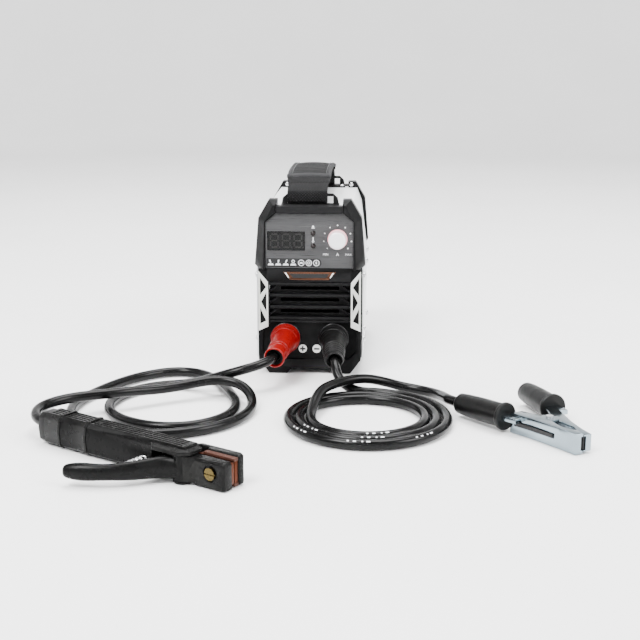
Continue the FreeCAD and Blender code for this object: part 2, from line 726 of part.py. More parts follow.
RED_TAIL = Vector(-30.0, -154.0, 30.5)
BLACK_TAIL = Vector(27.0, -150.0, 27.5)


def make_plugs():
    """Each plug: a brass pin in the socket and a rubber boot that droops a little."""
    z = size("socket_height")
    face = MASK_FRONT - 0.1
    pins = []
    for name, side, tail in (("positive", -1, RED_TAIL), ("negative", 1, BLACK_TAIL)):
        start = Vector(side * size("socket_spread"), face, z)
        pins.append(cylinder("pin_radius", 24.0, start - Y * 14.0, Y))
        waist = size("boot_radius") - 3.2
        axis = tail - (start - Y * 9.0)
        axis.normalize()
        sections = [
            (start - Y * 8.0, -Y, waist),
            (start - Y * 10.0 + axis * 10, axis, waist - 0.6),
            (tail - axis * 12, axis, size("boot_tail") + 0.4),
            (tail, axis, size("boot_tail")),
        ]
        wires = [Part.Wire(Part.Circle(point, normal, r).toShape()) for point, normal, r in sections]
        sleeve = Part.makeLoft(wires, True, False)
        collar = Part.makeCylinder(size("boot_radius"), 4.0, start, -Y)
        neck = Part.makeCylinder(waist, 4.1, start - Y * 4.0, -Y)
        hollow = Part.makeCylinder(size("pin_radius"), 14.2, start + Y * 0.1, -Y)
        bore = Part.makeCylinder(size("cable_radius"), 14.0, tail, -axis)
        mouth = Part.makeCone(size("boot_tail") - 1.6, size("cable_radius"), 12.0, tail + axis * 0.01, -axis)
        boot = collar.fuse([neck, sleeve]).cut([hollow, bore, mouth]).removeSplitter()
        keep("plug_boot_" + name, shape_of(boot))
    keep("plug_pins", group(*pins))


# ------------------------------------------------- holder and clamp frames

# Local x runs along each tool towards its jaws, local z is up.
HOLDER = Placement(Vector(-201.0, -325.0, 0), Rotation(Z, -32.3))
CLAMP = Placement(Vector(234.8, -325.3, 0), Rotation(Z, -61.6))
LEVER_PIVOT = Vector(148.0, 1.0, 0)
CLAMP_PIVOT = Vector(-46.0, 0, 0)
HOLDER_EXIT = Vector(-8.0, 7.5, 14.0)
LEVER_MIDDLE = 11.0
GRIP_A = (Vector(-74.2, -23.9, 13.1), Vector(-129.2, -35.9, 11.6))
GRIP_B = (Vector(-78.1, 27.3, 13.1), Vector(-133.6, 37.4, 11.6))


# ---------------------------------------------------------------- leads

REST = 4.5


def spiral(centre, radii, start, turns, pitch, points_per_turn=14):
    """Loose flat turns that wind inwards, clockwise from above; start in degrees from +Y."""
    route = []
    for k in range(int(turns * points_per_turn) + 1):
        angle = math.radians(start + 360.0 * k / points_per_turn)
        inwards = pitch * k / points_per_turn
        loose = 1.0 + 0.008 * math.sin(2.3 * angle + 1.0)
        across = (radii[0] - inwards) * loose * math.sin(angle)
        along = (radii[1] - inwards) * loose * math.cos(angle)
        route.append(Vector(centre[0] + across, centre[1] + along, REST))
    return route


def ground_route():
    """Down from the black boot, three loose turns, back over them and off to the clamp."""
    landing = [(28.5, -159, 23), (31.8, -167.2, 15.5), (39, -173.5, 9.3), (52, -177.3, 5)]
    over_and_out = [(12.2, -239.5, 9), (14.2, -226, 13.5), (18.5, -212.5, 17), (25.8, -199, 17.5),
                    (35.5, -187, 17.5), (48, -176.5, 17.5), (61.5, -168.5, 15.5), (76, -163, 11),
                    (91, -161.5, 6.5), (106, -165.5, 5), (118.5, -174.5, 5), (126.5, -188, 6.5),
                    (130, -203.5, 9)]
    rear = CLAMP.multVec(GRIP_A[1])
    along = CLAMP.Rotation.multVec(grip_axis(GRIP_A))
    route = [BLACK_TAIL + Vector(-0.5, 7.9, 1.5), BLACK_TAIL] + [Vector(*p) for p in landing]
    route += spiral((58.5, -254), (76, 78), 10, 2.72, 10.4)
    route += [Vector(*p) for p in over_and_out] + [rear - along * 13.0, rear + along * 10.0]
    return route


def electrode_route():
    """Left from the red boot, two uneven turns that spread outwards, then over them to the holder."""
    points = [
        (-35.8, -163.8, 29.2), (-45.3, -172.7, 27.3), (-57.4, -177.4, 24.6), (-71.4, -177.1, 20.5),
        (-85.7, -172.5, 15), (-101, -165.5, 9), (-117, -160.5, 5), (-133, -163, REST), (-149, -172, REST),
        (-162, -186, REST), (-170, -203, REST), (-173, -222, REST), (-170, -242, REST), (-161, -260, REST),
        (-147, -275, REST), (-130, -285, REST), (-111, -290, REST), (-92, -287, REST), (-75, -276, REST),
        (-63, -259, REST), (-57.5, -237, REST), (-59, -214, REST), (-65.5, -193, REST), (-73, -173, REST),
        (-82, -152, REST), (-93, -133.5, REST), (-106.5, -119.5, REST), (-124.5, -113, REST),
        (-143.5, -117.5, REST),
        (-161, -132, REST), (-175, -150, REST), (-186, -171, REST), (-195, -193, REST), (-202, -216, REST),
        (-204, -239, REST), (-199, -261, REST), (-188, -280, REST), (-172, -295, REST), (-152, -305, REST),
        (-131, -310, REST), (-109, -308.5, REST), (-89, -301.5, REST), (-71, -290, REST), (-56.5, -274, REST),
        (-47, -254, REST), (-43.5, -234, REST), (-43.7, -218.5, 5.5), (-47.5, -203.8, 10),
        (-56.7, -192.2, 14.3), (-70, -186.4, 16.6), (-84.5, -187.4, 17), (-98, -192.3, 16),
        (-111, -199, 14.7), (-123.5, -206.2, 14.2), (-133.5, -212.4, 14.5), (-142, -218, 15.3),
        (-157, -229, 17), (-171, -237.5, 17.5), (-185.5, -243.5, 17.5),
        (-199, -250, 17.3), (-210, -259.3, 17), (-218.6, -270.9, 16.5), (-221.6, -285.1, 16),
        (-218.4, -299.2, 15.3),
    ]
    end = HOLDER.multVec(HOLDER_EXIT)
    along = HOLDER.Rotation.multVec(X)
    route = [RED_TAIL + Vector(1.4, 11.8, 1.3), RED_TAIL + Vector(0, 2, 0.1)] + [Vector(*p) for p in points]
    return route + [end - along * 6.7 + Z * 0.5, end + along * 8.0]


def tangent_arc_wire(points):
    """Straight runs joined by tangent arcs, each as large as its two runs allow."""
    edges, radii = [], []
    last = points[0]
    for before, corner, after in zip(points, points[1:], points[2:]):
        run_in, run_out = corner - before, after - corner
        reach = 0.45 * min(run_in.Length, run_out.Length)
        turn = run_in.getAngle(run_out)
        radius = reach / math.tan(turn / 2)
        radii.append(radius)
        a, b = Vector(run_in).normalize(), Vector(run_out).normalize()
        begin, end = corner - a * reach, corner + b * reach
        inward = Vector(b - a).normalize()
        middle = corner + inward * (radius / math.cos(turn / 2) - radius)
        edges.append(Part.LineSegment(last, begin).toShape())
        edges.append(Part.Arc(begin, middle, end).toShape())
        last = end
    edges.append(Part.LineSegment(last, points[-1]).toShape())
    return Part.Wire(edges), radii


def make_cord(label, points):
    radius = size("cable_radius")
    wire, radii = tangent_arc_wire(points)
    section = Part.Wire(Part.Circle(points[0], points[1] - points[0], radius).toShape())
    tube = wire.makePipeShell([section], True, False)
    expected = wire.Length * math.pi * radius ** 2
    print(label, "is", round(wire.Length), "mm long; bend radii", [round(r) for r in radii])
    if abs(tube.Volume / expected - 1) > 0.01:
        raise RuntimeError(label + ": the tube's volume isn't its section times its length")
    keep(label, shape_of(tube))


# ------------------------------------------------------- electrode holder

def bar_along_x(outline, start, length, circles=()):
    """A body with a (y, z) outline, padded towards +X."""
    body = doc.addObject("PartDesign::Body", "bar")
    sketch = sketch_on(body, "YZ_Plane", start, "outline")
    add_outline(sketch, outline)
    for centre, radius in circles:
        add_circle(sketch, centre, radius)
    pad = body.newObject("PartDesign::Pad", "length")
    pad.Profile = sketch
    bind(pad, "Length", length)
    return body


def round_arm(centre_line, half_widths, half_heights):
    """A curved arm with an oval section that tapers to a rounded tip."""
    wires = []
    for i, (x, y) in enumerate(centre_line):
        ahead = centre_line[min(i + 1, len(centre_line) - 1)]
        behind = centre_line[max(i - 1, 0)]
        along = Vector(ahead[0] - behind[0], ahead[1] - behind[1], 0).normalize()
        wires.append(oval(Vector(x, y, LEVER_MIDDLE), along, half_widths[i], half_heights[i]))
    for step, share in ((2.2, 0.86), (3.8, 0.55)):
        tip = Vector(centre_line[-1][0], centre_line[-1][1], LEVER_MIDDLE) + along * step
        wires.append(oval(tip, along, half_widths[-1] * share, half_heights[-1] * share))
    return Part.makeLoft(wires, True, False)


def oval(centre, along, half_width, half_height):
    """An upright ellipse across a level direction, always starting at its top."""
    ellipse = Part.Ellipse(Vector(0, 0, 0), half_height, half_width)
    wire = Part.Wire(ellipse.toShape())
    wire.Placement = Placement(centre, Rotation(Z, Z.cross(along), along, "ZXY"))
    return wire


def make_holder():
    gap = size("running_gap")
    pivot = LEVER_PIVOT
    grip_outline = [(0.5, 0), (15, 0), (18, 3.5), (18, 22.5), (15.5, 27), (1, 27), (-2.4, 23.5), (-4, 14),
                    (-3, 3.5)]
    grip = bar_along_x(grip_outline, 0, "handle_length")
    ring_outline = [(7.3 + (a - 7.3) * 1.07, max(0, 13.5 + (b - 13.5) * 1.06)) for a, b in grip_outline]
    rings = [bar_along_x(ring_outline, start, 3.0) for start in (16, 46)]
    grooves = [mid_box(142, 1.3, 1.5, (75, 3.2 + 3.3 * k, 27)) for k in range(4)]
    neck = mid_box(32, 10.4, 24.4, (134, 14.8, 12.2))
    top_bar = box(32, 14, 4.7, (118, 1.0, 22.3))
    guard = slab([(112, 4), (124, -7.5), (150, -8), (158, -1), (158, 12), (150, 15), (118, 15)], 22.3, 3.0)
    ears = [cylinder(8.0, 1.6, (pivot.x, pivot.y, 0)), box(16, 14, 1.6, (pivot.x - 8.0, pivot.y, 0))]
    shank_way = box(40, 5.2, 6.2, (120, 10.9, 9.9))
    tunnel = cylinder(6.4, 111, (-1, 7.5, 14), X)
    pin_bore = cylinder("rivet_radius", 29, (pivot.x, pivot.y, -5))
    handle = cut(fuse(grip, *rings, neck, top_bar, guard, *ears), shank_way, tunnel, pin_bore, *grooves)
    keep("holder_handle", handle, HOLDER)
    cap_outline = [(1.5, 1), (14, 1), (16.8, 4), (16.8, 22), (14.4, 25.8), (2, 25.8), (-1.4, 22.5),
                   (-2.8, 14), (-1.8, 4)]
    cap = bar_along_x(cap_outline, -8.0, 7.95, circles=[((7.5, 14), "cable_radius")])
    keep("holder_end_cap", cap, HOLDER)
    shank = box(30, 5.0, 6.0, (120.2, 11.0, 10.0))
    jaw = cut(fuse(box(38, 4.0, 17, (150.2, 12.9, 3)), shank), *teeth(12.9))
    keep("holder_fixed_jaw", jaw, HOLDER)
    cover = [(143, 20.1), (158.4, 20.1), (158.4, 17), (189.5, 17), (189.5, 22.5), (185, 25.2), (147, 25.2)]
    keep("holder_head_cover", slab(cover, 0.4, 23.2), HOLDER)
    strips = [box(30, 4.6, 2.4, (158.6, 12.3, z)) for z in (20.1, 0.5)]
    keep("holder_insulators", group(*strips), HOLDER)
    arm_line = [(150, -0.5), (140, -4.5), (131.5, -12.5), (122, -27), (107, -42), (84, -55)]
    arm = shape_of(round_arm(arm_line, [6.0, 6.4, 5.8, 5.2, 5.0, 4.8], [9.0, 9.0, 8.4, 7.4, 6.4, 5.6]))
    nose = slab([(146, -6), (153, -5), (161, -0.9), (189.5, -0.6), (189.5, 8.1), (153, 8.1)], 2.0, 19.6)
    lip = slab([(161, -0.9), (189.5, -0.6), (189.5, 8.1), (161, 8.1)], 0.4, 1.8)
    hub = cylinder(7.8, "lever_height", (pivot.x, pivot.y, 2.0))
    bore = cylinder(size("rivet_radius") + gap, 40, (pivot.x, pivot.y, -5))
    screw_bore = cylinder(2.5, 14, (176, -2, 12), Y)
    screw_recess = cylinder(6.6, 3.0, (176, -2.2, 12), Y)
    keep("holder_lever", cut(fuse(arm, nose, lip, hub), bore, screw_bore, screw_recess), HOLDER)
    moving = cut(box(30, 3.8, 17, (158.2, 8.2, 3)), *teeth(12.0), cylinder(2.5, 14, (176, -2, 12), Y))
    keep("holder_lever_jaw", moving, HOLDER)
    head = cut(cylinder(4.8, 2.8, (176, -2.0, 12), Y), box(10, 0.9, 1.2, (171, -2.1, 11.4)))
    keep("holder_jaw_screw", fuse(head, cylinder(2.5, 12.4, (176, -0.7, 12), Y)), HOLDER)
    spring = helix_spring(4.4, 0.6, 20.1, 4.4, Vector(113, -4.3, 10), -Y)
    keep("holder_spring", group(spring), HOLDER)


def teeth(face_y):
    """Slanted notches that hold the electrode between the two jaws."""
    slants = [-0.25, 0, 0.25, -0.25, 0, 0.25]
    return [cylinder(1.3, 40, (152 + 7.0 * k, face_y, -8), Vector(a, 0, 1)) for k, a in enumerate(slants)]


def helix_spring(radius, wire, length, pitch, foot, axis):
    spine = Part.makeHelix(pitch, length, radius)
    section = Part.Wire(Part.Circle(Vector(radius, 0, 0), Y, wire).toShape())
    coil = Part.Wire(spine.Edges).makePipeShell([section], True, True)
    coil.Placement = Placement(foot, Rotation(Z, axis))
    return shape_of(coil)


# ---------------------------------------------------------------- earth clamp

def clamp_arm(outer, inner, ear_radius, low, high, mirror):
    """A pressed channel: an upright web along `outer`, a flange on its top and one on its bottom."""
    steel = size("clamp_steel")
    flip = -1 if mirror else 1
    web_in = [(x, y + steel) for x, y in reversed(outer)]
    web = slab([(x, flip * y) for x, y in outer + web_in], low, high - low)
    parts = [web]
    flange = [(x, flip * y) for x, y in outer + inner]
    for bottom in (low, high - steel):
        parts.append(slab(flange, bottom, "clamp_steel"))
        parts.append(cylinder(ear_radius, "clamp_steel", (CLAMP_PIVOT.x, CLAMP_PIVOT.y, bottom)))
    return parts


def make_clamp():
    height = size("clamp_height")
    outer_a = [(0, -7.6), (-18, -10.4), (-50, -16.2), (-71, -22.0)]
    inner_a = [(-71, -10.8), (-62, -7.0), (-46, -1.0), (-34, -5.0), (-22, -6.0), (-12, -3.2), (-9, -0.4),
               (0, -0.4)]
    pad_a = slab([(0, -7.6), (0, -0.4), (-9, -0.4), (-9, -8.9)], 0, "clamp_height")
    tang_a = box(40, 12, 4.0, (0, -6.0, 8.8))
    tang_a.Placement = tang_placement(GRIP_A, 4.0)
    groove = [(-24, -13.4), (-24, -10.9), (-50, -15.6), (-66, -20.0), (-66, -23.0), (-50, -18.4)]
    channel = slab(groove, 7.4, 3.6)
    bore = cylinder("rivet_radius", 40, (CLAMP_PIVOT.x, 0, -5))
    slots = [box(4, 2.4, 11.5, (-3.0, y, 3.0)) for y in (-2.4, 0.0)]
    arm_a = fuse(*clamp_arm(outer_a, inner_a, 8.0, 0, height, False), pad_a, tang_a)
    arm_a = cut(arm_a, bore, channel, slots[0])
    keep("clamp_arm_fixed", arm_a, CLAMP)
    outer_b = [(0, -7.6), (-14, -9.2), (-34, -13.4), (-57, -21.0), (-75, -26.5)]
    inner_b = [(-75, -16.4), (-62, -11.0), (-46, -2.0), (-34, -5.5), (-22, -6.2), (-12, -3.2), (-9, -0.4),
               (0, -0.4)]
    pad_b = slab([(0, 7.6), (0, 0.4), (-9, 0.4), (-9, 8.5)], 1.8, height - 3.6)
    tang_b = box(40, 12, 4.0, (0, -6.0, 8.8))
    tang_b.Placement = tang_placement(GRIP_B, 4.0)
    loose = cylinder(size("rivet_radius") + size("running_gap"), 40, (CLAMP_PIVOT.x, 0, -5))
    arm_b = fuse(*clamp_arm(outer_b, inner_b, 7.4, 1.8, height - 1.8, True), pad_b, tang_b)
    keep("clamp_arm_moving", cut(arm_b, loose, slots[1]), CLAMP)
    for name, grip, hollow in (("clamp_grip_fixed", GRIP_A, True), ("clamp_grip_moving", GRIP_B, False)):
        keep(name, clamp_grip(grip, hollow), CLAMP)
    spring = group(*[torus(4.6, 0.7, (CLAMP_PIVOT.x, 0, z)) for z in (6.4, 7.9, 9.4, 10.9)])
    keep("clamp_spring", spring, CLAMP)
    pins = [cylinder("rivet_radius", height + 1.6, CLAMP.multVec(CLAMP_PIVOT)),
            cylinder("rivet_radius", 24.0, HOLDER.multVec(LEVER_PIVOT))]
    keep("pivot_pins", group(*pins))
    lugs = []
    clamp_axis = grip_axis(GRIP_A)
    crimps = ((HOLDER, Vector(0, 7.5, 14), X), (CLAMP, GRIP_A[1] + clamp_axis * 10, clamp_axis))
    for place, foot, axis in crimps:
        way = place.Rotation.multVec(axis)
        start = place.multVec(foot)
        lugs.append(cut(cylinder(5.6, 18, start, way), cylinder(3.9, 12, start - way * 0.5, way)))
    keep("cable_lugs", group(*lugs))


def grip_axis(grip):
    """Unit vector from a grip's rear end towards the jaws."""
    return Vector(grip[0] - grip[1]).normalize()


def tang_placement(grip, drop):
    """Puts a tang on its grip's axis, from 24 mm inside the grip to the arm."""
    axis = grip_axis(grip)
    start = grip[0] - axis * 24
    return Placement(Vector(start.x, start.y, start.z - drop / 2), Rotation(X, axis)).multiply(
        Placement(Vector(0, -6.0, 0), Rotation()))


def clamp_grip(grip, hollow):
    """A rubber sleeve with a wide front lip, a slot for the tang and, on one, a bore for the cable."""
    axis = grip_axis(grip)
    length = (grip[0] - grip[1]).Length
    radius = size("grip_radius")
    profile = [(0, 0), (radius - 2.8, 0), (radius - 1.6, 1.6), (radius - 0.9, 9.0),
               (radius - 0.3, length * 0.5), (radius - 0.3, length - 5.0), (radius + 1.0, length - 3.8),
               (radius + 1.4, length - 2.9), (radius + 1.4, length - 0.9), (radius + 0.8, length),
               (0, length)]
    sleeve = revolved(profile, Placement(grip[1], Rotation(Z, axis)))
    slot = box(26, 12, 4.0, (0, -6.0, 8.8))
    slot.Placement = tang_placement(grip, 4.0)
    tools = [slot]
    if hollow:
        tools.append(cylinder("cable_radius", 12.4, grip[1] - axis * 0.4, axis))
        tools.append(cylinder(5.6, 18.2, grip[1] + axis * 9.9, axis))
    return cut(sleeve, *tools)


def write_parts():
    """Checks every object, then writes one STEP file for each sub-part."""
    doc.recompute()
    for obj in doc.Objects:
        if "Invalid" in obj.State or "Error" in obj.State:
            raise RuntimeError(f"{obj.Name} ({obj.Label}) failed: {obj.State}")
    for label, obj in nodes.items():
        if obj.Shape.isNull() or not obj.Shape.isValid() or not obj.Shape.Solids:
            raise RuntimeError(label + " has no valid solid")
    os.makedirs("parts", exist_ok=True)
    for label, obj in nodes.items():
        obj.Shape.exportStep(os.path.join("parts", label + ".step"))
    print(len(nodes), "sub-parts written")


make_cover()
make_base_tray()
make_front_mask()
make_louvre()
make_front_bezel()
make_panel()
make_display()
make_knob()
make_trim()
make_sockets()
make_rear()
make_fan()
make_switch_and_gland()
make_internals()
make_strap()
make_screws()
make_plugs()
make_cord("ground_cable", ground_route())
make_cord("electrode_cable", electrode_route())
make_holder()
make_clamp()
write_parts()
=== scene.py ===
import json
import math

import bmesh
import bpy
from mathutils import Euler, Matrix, Vector


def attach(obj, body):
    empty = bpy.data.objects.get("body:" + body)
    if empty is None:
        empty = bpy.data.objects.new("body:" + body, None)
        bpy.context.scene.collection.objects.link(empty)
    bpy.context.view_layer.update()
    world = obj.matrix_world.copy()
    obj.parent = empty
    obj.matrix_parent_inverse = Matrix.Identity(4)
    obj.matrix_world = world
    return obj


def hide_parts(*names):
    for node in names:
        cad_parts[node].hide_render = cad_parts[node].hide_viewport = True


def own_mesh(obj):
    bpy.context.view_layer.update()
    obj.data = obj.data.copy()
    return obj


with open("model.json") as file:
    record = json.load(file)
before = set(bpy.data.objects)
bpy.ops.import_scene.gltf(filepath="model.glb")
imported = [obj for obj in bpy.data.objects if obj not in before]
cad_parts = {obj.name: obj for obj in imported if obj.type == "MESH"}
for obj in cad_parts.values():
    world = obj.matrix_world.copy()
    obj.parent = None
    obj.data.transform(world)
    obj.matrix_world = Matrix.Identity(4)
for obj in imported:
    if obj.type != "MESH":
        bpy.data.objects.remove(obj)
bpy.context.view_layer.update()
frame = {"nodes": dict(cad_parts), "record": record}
NODES = frame["nodes"]
MM = 0.001


def mm(*values):
    return Vector(values) * MM


# ------------------------------------------------------------------ materials

COAT_ROUGHNESS = 0.1
# Sockets of a colour mix: its two colours, and the mixed colour among its outputs.
MIX_FIRST, MIX_SECOND, MIX_RESULT = 6, 7, 2


def grey(level, blue=None):
    """A neutral linear colour, or nearly one where `blue` sets the blue channel apart."""
    return (level, level, level if blue is None else blue)


class Surface:
    """A procedural material that is built up step by step."""

    def __init__(self, name, rough=0.5, metallic=0.0, coat=0.0, specular=0.5, sheen=0.0):
        self.mat = bpy.data.materials.new(name)
        self.mat.use_nodes = True
        self.tree = self.mat.node_tree
        self.shader = self.tree.nodes["Principled BSDF"]
        for socket, value in (("Roughness", rough), ("Metallic", metallic), ("Coat Weight", coat),
                              ("Coat Roughness", COAT_ROUGHNESS), ("Specular IOR Level", specular),
                              ("Sheen Weight", sheen)):
            self.shader.inputs[socket].default_value = value
        self.place = self.tree.nodes.new("ShaderNodeTexCoord").outputs["Object"]

    def node(self, kind, **inputs):
        made = self.tree.nodes.new(kind)
        for socket, value in inputs.items():
            made.inputs[socket].default_value = value
        return made

    def link(self, source, target):
        self.tree.links.new(source, target)

    def scaled(self, x, y, z):
        made = self.node("ShaderNodeMapping", Scale=(x, y, z))
        self.link(self.place, made.inputs["Vector"])
        return made.outputs["Vector"]

    def noise(self, scale, detail=4.0, stretch=None):
        made = self.node("ShaderNodeTexNoise", Scale=scale, Detail=detail)
        self.link(self.scaled(*stretch) if stretch else self.place, made.inputs["Vector"])
        return made.outputs["Fac"]

    def wave(self, scale, axis, distortion=0.0, mirrored=False):
        made = self.node("ShaderNodeTexWave", Scale=scale, Distortion=distortion)
        made.bands_direction = axis
        self.link(self.scaled(-1, 1, 1) if mirrored else self.place, made.inputs["Vector"])
        return made.outputs["Fac"]

    def ramp(self, source, low, high, a=0.35, b=0.65):
        made = self.node("ShaderNodeValToRGB")
        made.color_ramp.elements[0].position = a
        made.color_ramp.elements[1].position = b
        made.color_ramp.elements[0].color = (*low, 1)
        made.color_ramp.elements[1].color = (*high, 1)
        self.link(source, made.inputs["Fac"])
        return made.outputs["Color"]

    def mapped(self, source, low, high, a=0.3, b=0.7):
        made = self.node("ShaderNodeMapRange")
        made.inputs["From Min"].default_value = a
        made.inputs["From Max"].default_value = b
        made.inputs["To Min"].default_value = low
        made.inputs["To Max"].default_value = high
        self.link(source, made.inputs["Value"])
        return made.outputs["Result"]

    def mix(self, factor, first, second):
        made = self.node("ShaderNodeMix")
        made.data_type = "RGBA"
        self.link(factor, made.inputs["Factor"])
        for slot, value in ((MIX_FIRST, first), (MIX_SECOND, second)):
            if isinstance(value, tuple):
                made.inputs[slot].default_value = (*value, 1)
            else:
                self.link(value, made.inputs[slot])
        return made.outputs[MIX_RESULT]

    def math(self, kind, first, second):
        made = self.node("ShaderNodeMath")
        made.operation = kind
        for slot, value in ((0, first), (1, second)):
            if isinstance(value, float):
                made.inputs[slot].default_value = value
            else:
                self.link(value, made.inputs[slot])
        return made.outputs[0]

    def colour(self, source):
        self.link(source, self.shader.inputs["Base Color"])
        return self

    def rough(self, source):
        self.link(source, self.shader.inputs["Roughness"])
        return self

    def bump(self, source, strength=0.3, distance=0.0003):
        made = self.node("ShaderNodeBump", Strength=strength, Distance=distance)
        self.link(source, made.inputs["Height"])
        if self.shader.inputs["Normal"].is_linked:
            self.link(self.shader.inputs["Normal"].links[0].from_socket, made.inputs["Normal"])
        self.link(made.outputs["Normal"], self.shader.inputs["Normal"])
        return self

    def edges(self, base, edge_tone):
        """Mixes in a paler tone where the surface bends outwards."""
        point = self.node("ShaderNodeNewGeometry").outputs["Pointiness"]
        return self.mix(self.mapped(point, 0.0, 1.0, 0.52, 0.60), base, edge_tone)


def plastic(name, colour, rough, grain=900.0, bump=0.25, spread=0.18, edge_tone=None, coat=0.0, specular=0.5):
    made = Surface(name, rough=rough, coat=coat, specular=specular)
    dark = tuple(c * (1 - spread) for c in colour)
    light = tuple(min(1, c * (1 + spread)) for c in colour)
    tone = made.ramp(made.noise(55.0), dark, light)
    if edge_tone:
        tone = made.edges(tone, edge_tone)
    made.colour(tone)
    made.rough(made.mapped(made.noise(140.0, 6.0), rough * 0.82, min(1.0, rough * 1.22)))
    if bump:
        made.bump(made.noise(grain, 3.0), bump, 0.00012)
    return made


def metal(name, colour, rough, streaks, bump=0.1, spread=0.1, metallic=1.0):
    made = Surface(name, rough=rough, metallic=metallic)
    dark = tuple(c * (1 - spread) for c in colour)
    light = tuple(min(1, c * (1 + spread)) for c in colour)
    made.colour(made.ramp(made.noise(1.0, 5.0, streaks), dark, light))
    made.rough(made.mapped(made.noise(1.0, 6.0, tuple(3 * s for s in streaks)), rough * 0.7, rough * 1.35))
    if bump:
        made.bump(made.noise(1.0, 4.0, tuple(9 * s for s in streaks)), bump, 0.0001)
    return made


SURFACES = {}


def add(slot, surface):
    SURFACES[slot] = surface.mat


def add_moulding(slot, name, tone, rough, edge_tone, specular, grain=1200, bump=0.3):
    """A moulded part; the edge tone is the paler one on its raised edges, and both tones are linear colours.
    """
    add(slot, plastic(name, tone, rough, grain, bump, spread=0.16, edge_tone=edge_tone, specular=specular))


add_moulding("front_plastic", "case_plastic", grey(0.0026, 0.0028), 0.38, grey(0.009, 0.0095), specular=0.08)
add_moulding("rear_steel", "black_powder_coat", grey(0.0032, 0.0034), 0.42, grey(0.010, 0.0105),
             specular=0.10, grain=1600, bump=0.4)
add_moulding("black_insulator", "gloss_black", grey(0.006, 0.0065), 0.2, grey(0.018), specular=0.4,
             grain=500, bump=0.06)
add_moulding("component_black", "component_black", grey(0.012, 0.013), 0.4, grey(0.03), specular=0.3,
             grain=700)
add_moulding("black_rubber", "black_rubber", grey(0.0032), 0.36, grey(0.009), specular=0.16, grain=1100)
add_moulding("holder_plastic", "holder_plastic", grey(0.0032), 0.28, grey(0.010, 0.0095), specular=0.08,
             grain=900)
add_moulding("red_rubber", "red_rubber", (0.16, 0.0008, 0.0011), 0.32, (0.26, 0.005, 0.005), specular=0.2,
             grain=900, bump=0.10)
add_moulding("heat_insulator", "fibre_insulator", (0.030, 0.010, 0.007), 0.6, (0.06, 0.022, 0.014),
             specular=0.2, grain=600, bump=0.4)
add_moulding("ferrite", "ferrite", grey(0.05, 0.055), 0.6, grey(0.09), specular=0.3, grain=500)
add("cover_paint", plastic("silver_powder_coat", (0.70, 0.71, 0.72), 0.34, grain=1300, bump=0.22, spread=0.04,
                           edge_tone=(0.84, 0.85, 0.86), coat=0.2))
add("panel_metal", metal("brushed_panel", grey(0.048, 0.0495), 0.34, streaks=(14, 300, 900), bump=0.05,
                         spread=0.05, metallic=0.5))
window = plastic("tinted_window", grey(0.002, 0.0022), 0.10, grain=300, bump=0.0, spread=0.1, specular=0.2)
window.shader.inputs["Alpha"].default_value = 0.62
add("window_plastic", window)
add("segment_lens", plastic("unlit_segments", (0.50, 0.50, 0.47), 0.35, grain=500, bump=0.1))
add("lamp_lens", plastic("lamp_lens", (0.006, 0.003, 0.003), 0.14, grain=300, bump=0.05, specular=0.3))
add("bright_steel", metal("bright_steel", grey(0.66, 0.67), 0.24, streaks=(60, 60, 60)))
add("circuit_board", plastic("circuit_board", (0.03, 0.16, 0.07), 0.35, grain=400, bump=0.3))
add("silver_trim", plastic("silver_trim", (0.56, 0.57, 0.54), 0.30, grain=900, bump=0.12, spread=0.06,
                           edge_tone=(0.78, 0.79, 0.77)))
add("badge_metal", metal("copper_badge", (0.075, 0.033, 0.020), 0.28, streaks=(10, 200, 500), bump=0.12,
                         spread=0.35, metallic=0.9))
add("white_marks", plastic("white_marks", (0.82, 0.82, 0.80), 0.4, grain=800, bump=0.1, spread=0.04))
add("brass", metal("brass", (0.085, 0.062, 0.022), 0.26, streaks=(50, 50, 50)))
add("aluminium", metal("aluminium", grey(0.68, 0.70), 0.35, streaks=(20, 20, 200)))
add("copper", metal("copper", (0.075, 0.020, 0.009), 0.38, streaks=(40, 40, 40), bump=0.2, spread=0.26))
add("zinc_steel", metal("zinc_plate", (0.26, 0.315, 0.35), 0.15, streaks=(25, 25, 25), bump=0.06,
                        spread=0.16))


def cable_sheath():
    """Smooth, slightly wavy black rubber."""
    made = Surface("cable_sheath", rough=0.22, specular=0.14)
    made.colour(made.ramp(made.noise(60.0), grey(0.0020), grey(0.0040, 0.0042)))
    made.rough(made.mapped(made.noise(90.0, 5.0), 0.17, 0.28))
    made.bump(made.noise(260.0, 3.0), 0.12, 0.0004)
    return made


# The middle of the dial, and where the pink rim of its knob starts and is full.
DIAL_X, DIAL_Z = 27.6, 136.0
RIM_FROM, RIM_TO = 7.0, 9.6


def knob_plastic():
    """White, with a pink rim round the skirt."""
    made = Surface("knob_white", rough=0.28, coat=0.3)
    spot = made.node("ShaderNodeMapping", Location=mm(-DIAL_X, 0, -DIAL_Z))
    made.link(made.place, spot.inputs["Vector"])
    flat = made.node("ShaderNodeVectorMath")
    flat.operation = "MULTIPLY"
    flat.inputs[1].default_value = (1, 0, 1)
    made.link(spot.outputs["Vector"], flat.inputs[0])
    reach = made.node("ShaderNodeVectorMath")
    reach.operation = "LENGTH"
    made.link(flat.outputs["Vector"], reach.inputs[0])
    rim_share = made.mapped(reach.outputs["Value"], 0.0, 1.0, RIM_FROM * MM, RIM_TO * MM)
    rim = made.ramp(rim_share, (0.86, 0.86, 0.88), (0.86, 0.34, 0.38), 0.25, 0.95)
    made.colour(made.mix(made.mapped(made.noise(200.0), 0.0, 0.12), rim, (0.7, 0.7, 0.72)))
    return made


add("cable_rubber", cable_sheath())
add("knob_plastic", knob_plastic())

# A diagonal wave of this scale repeats about once in a metre.
DIAGONAL_SCALE = 0.48


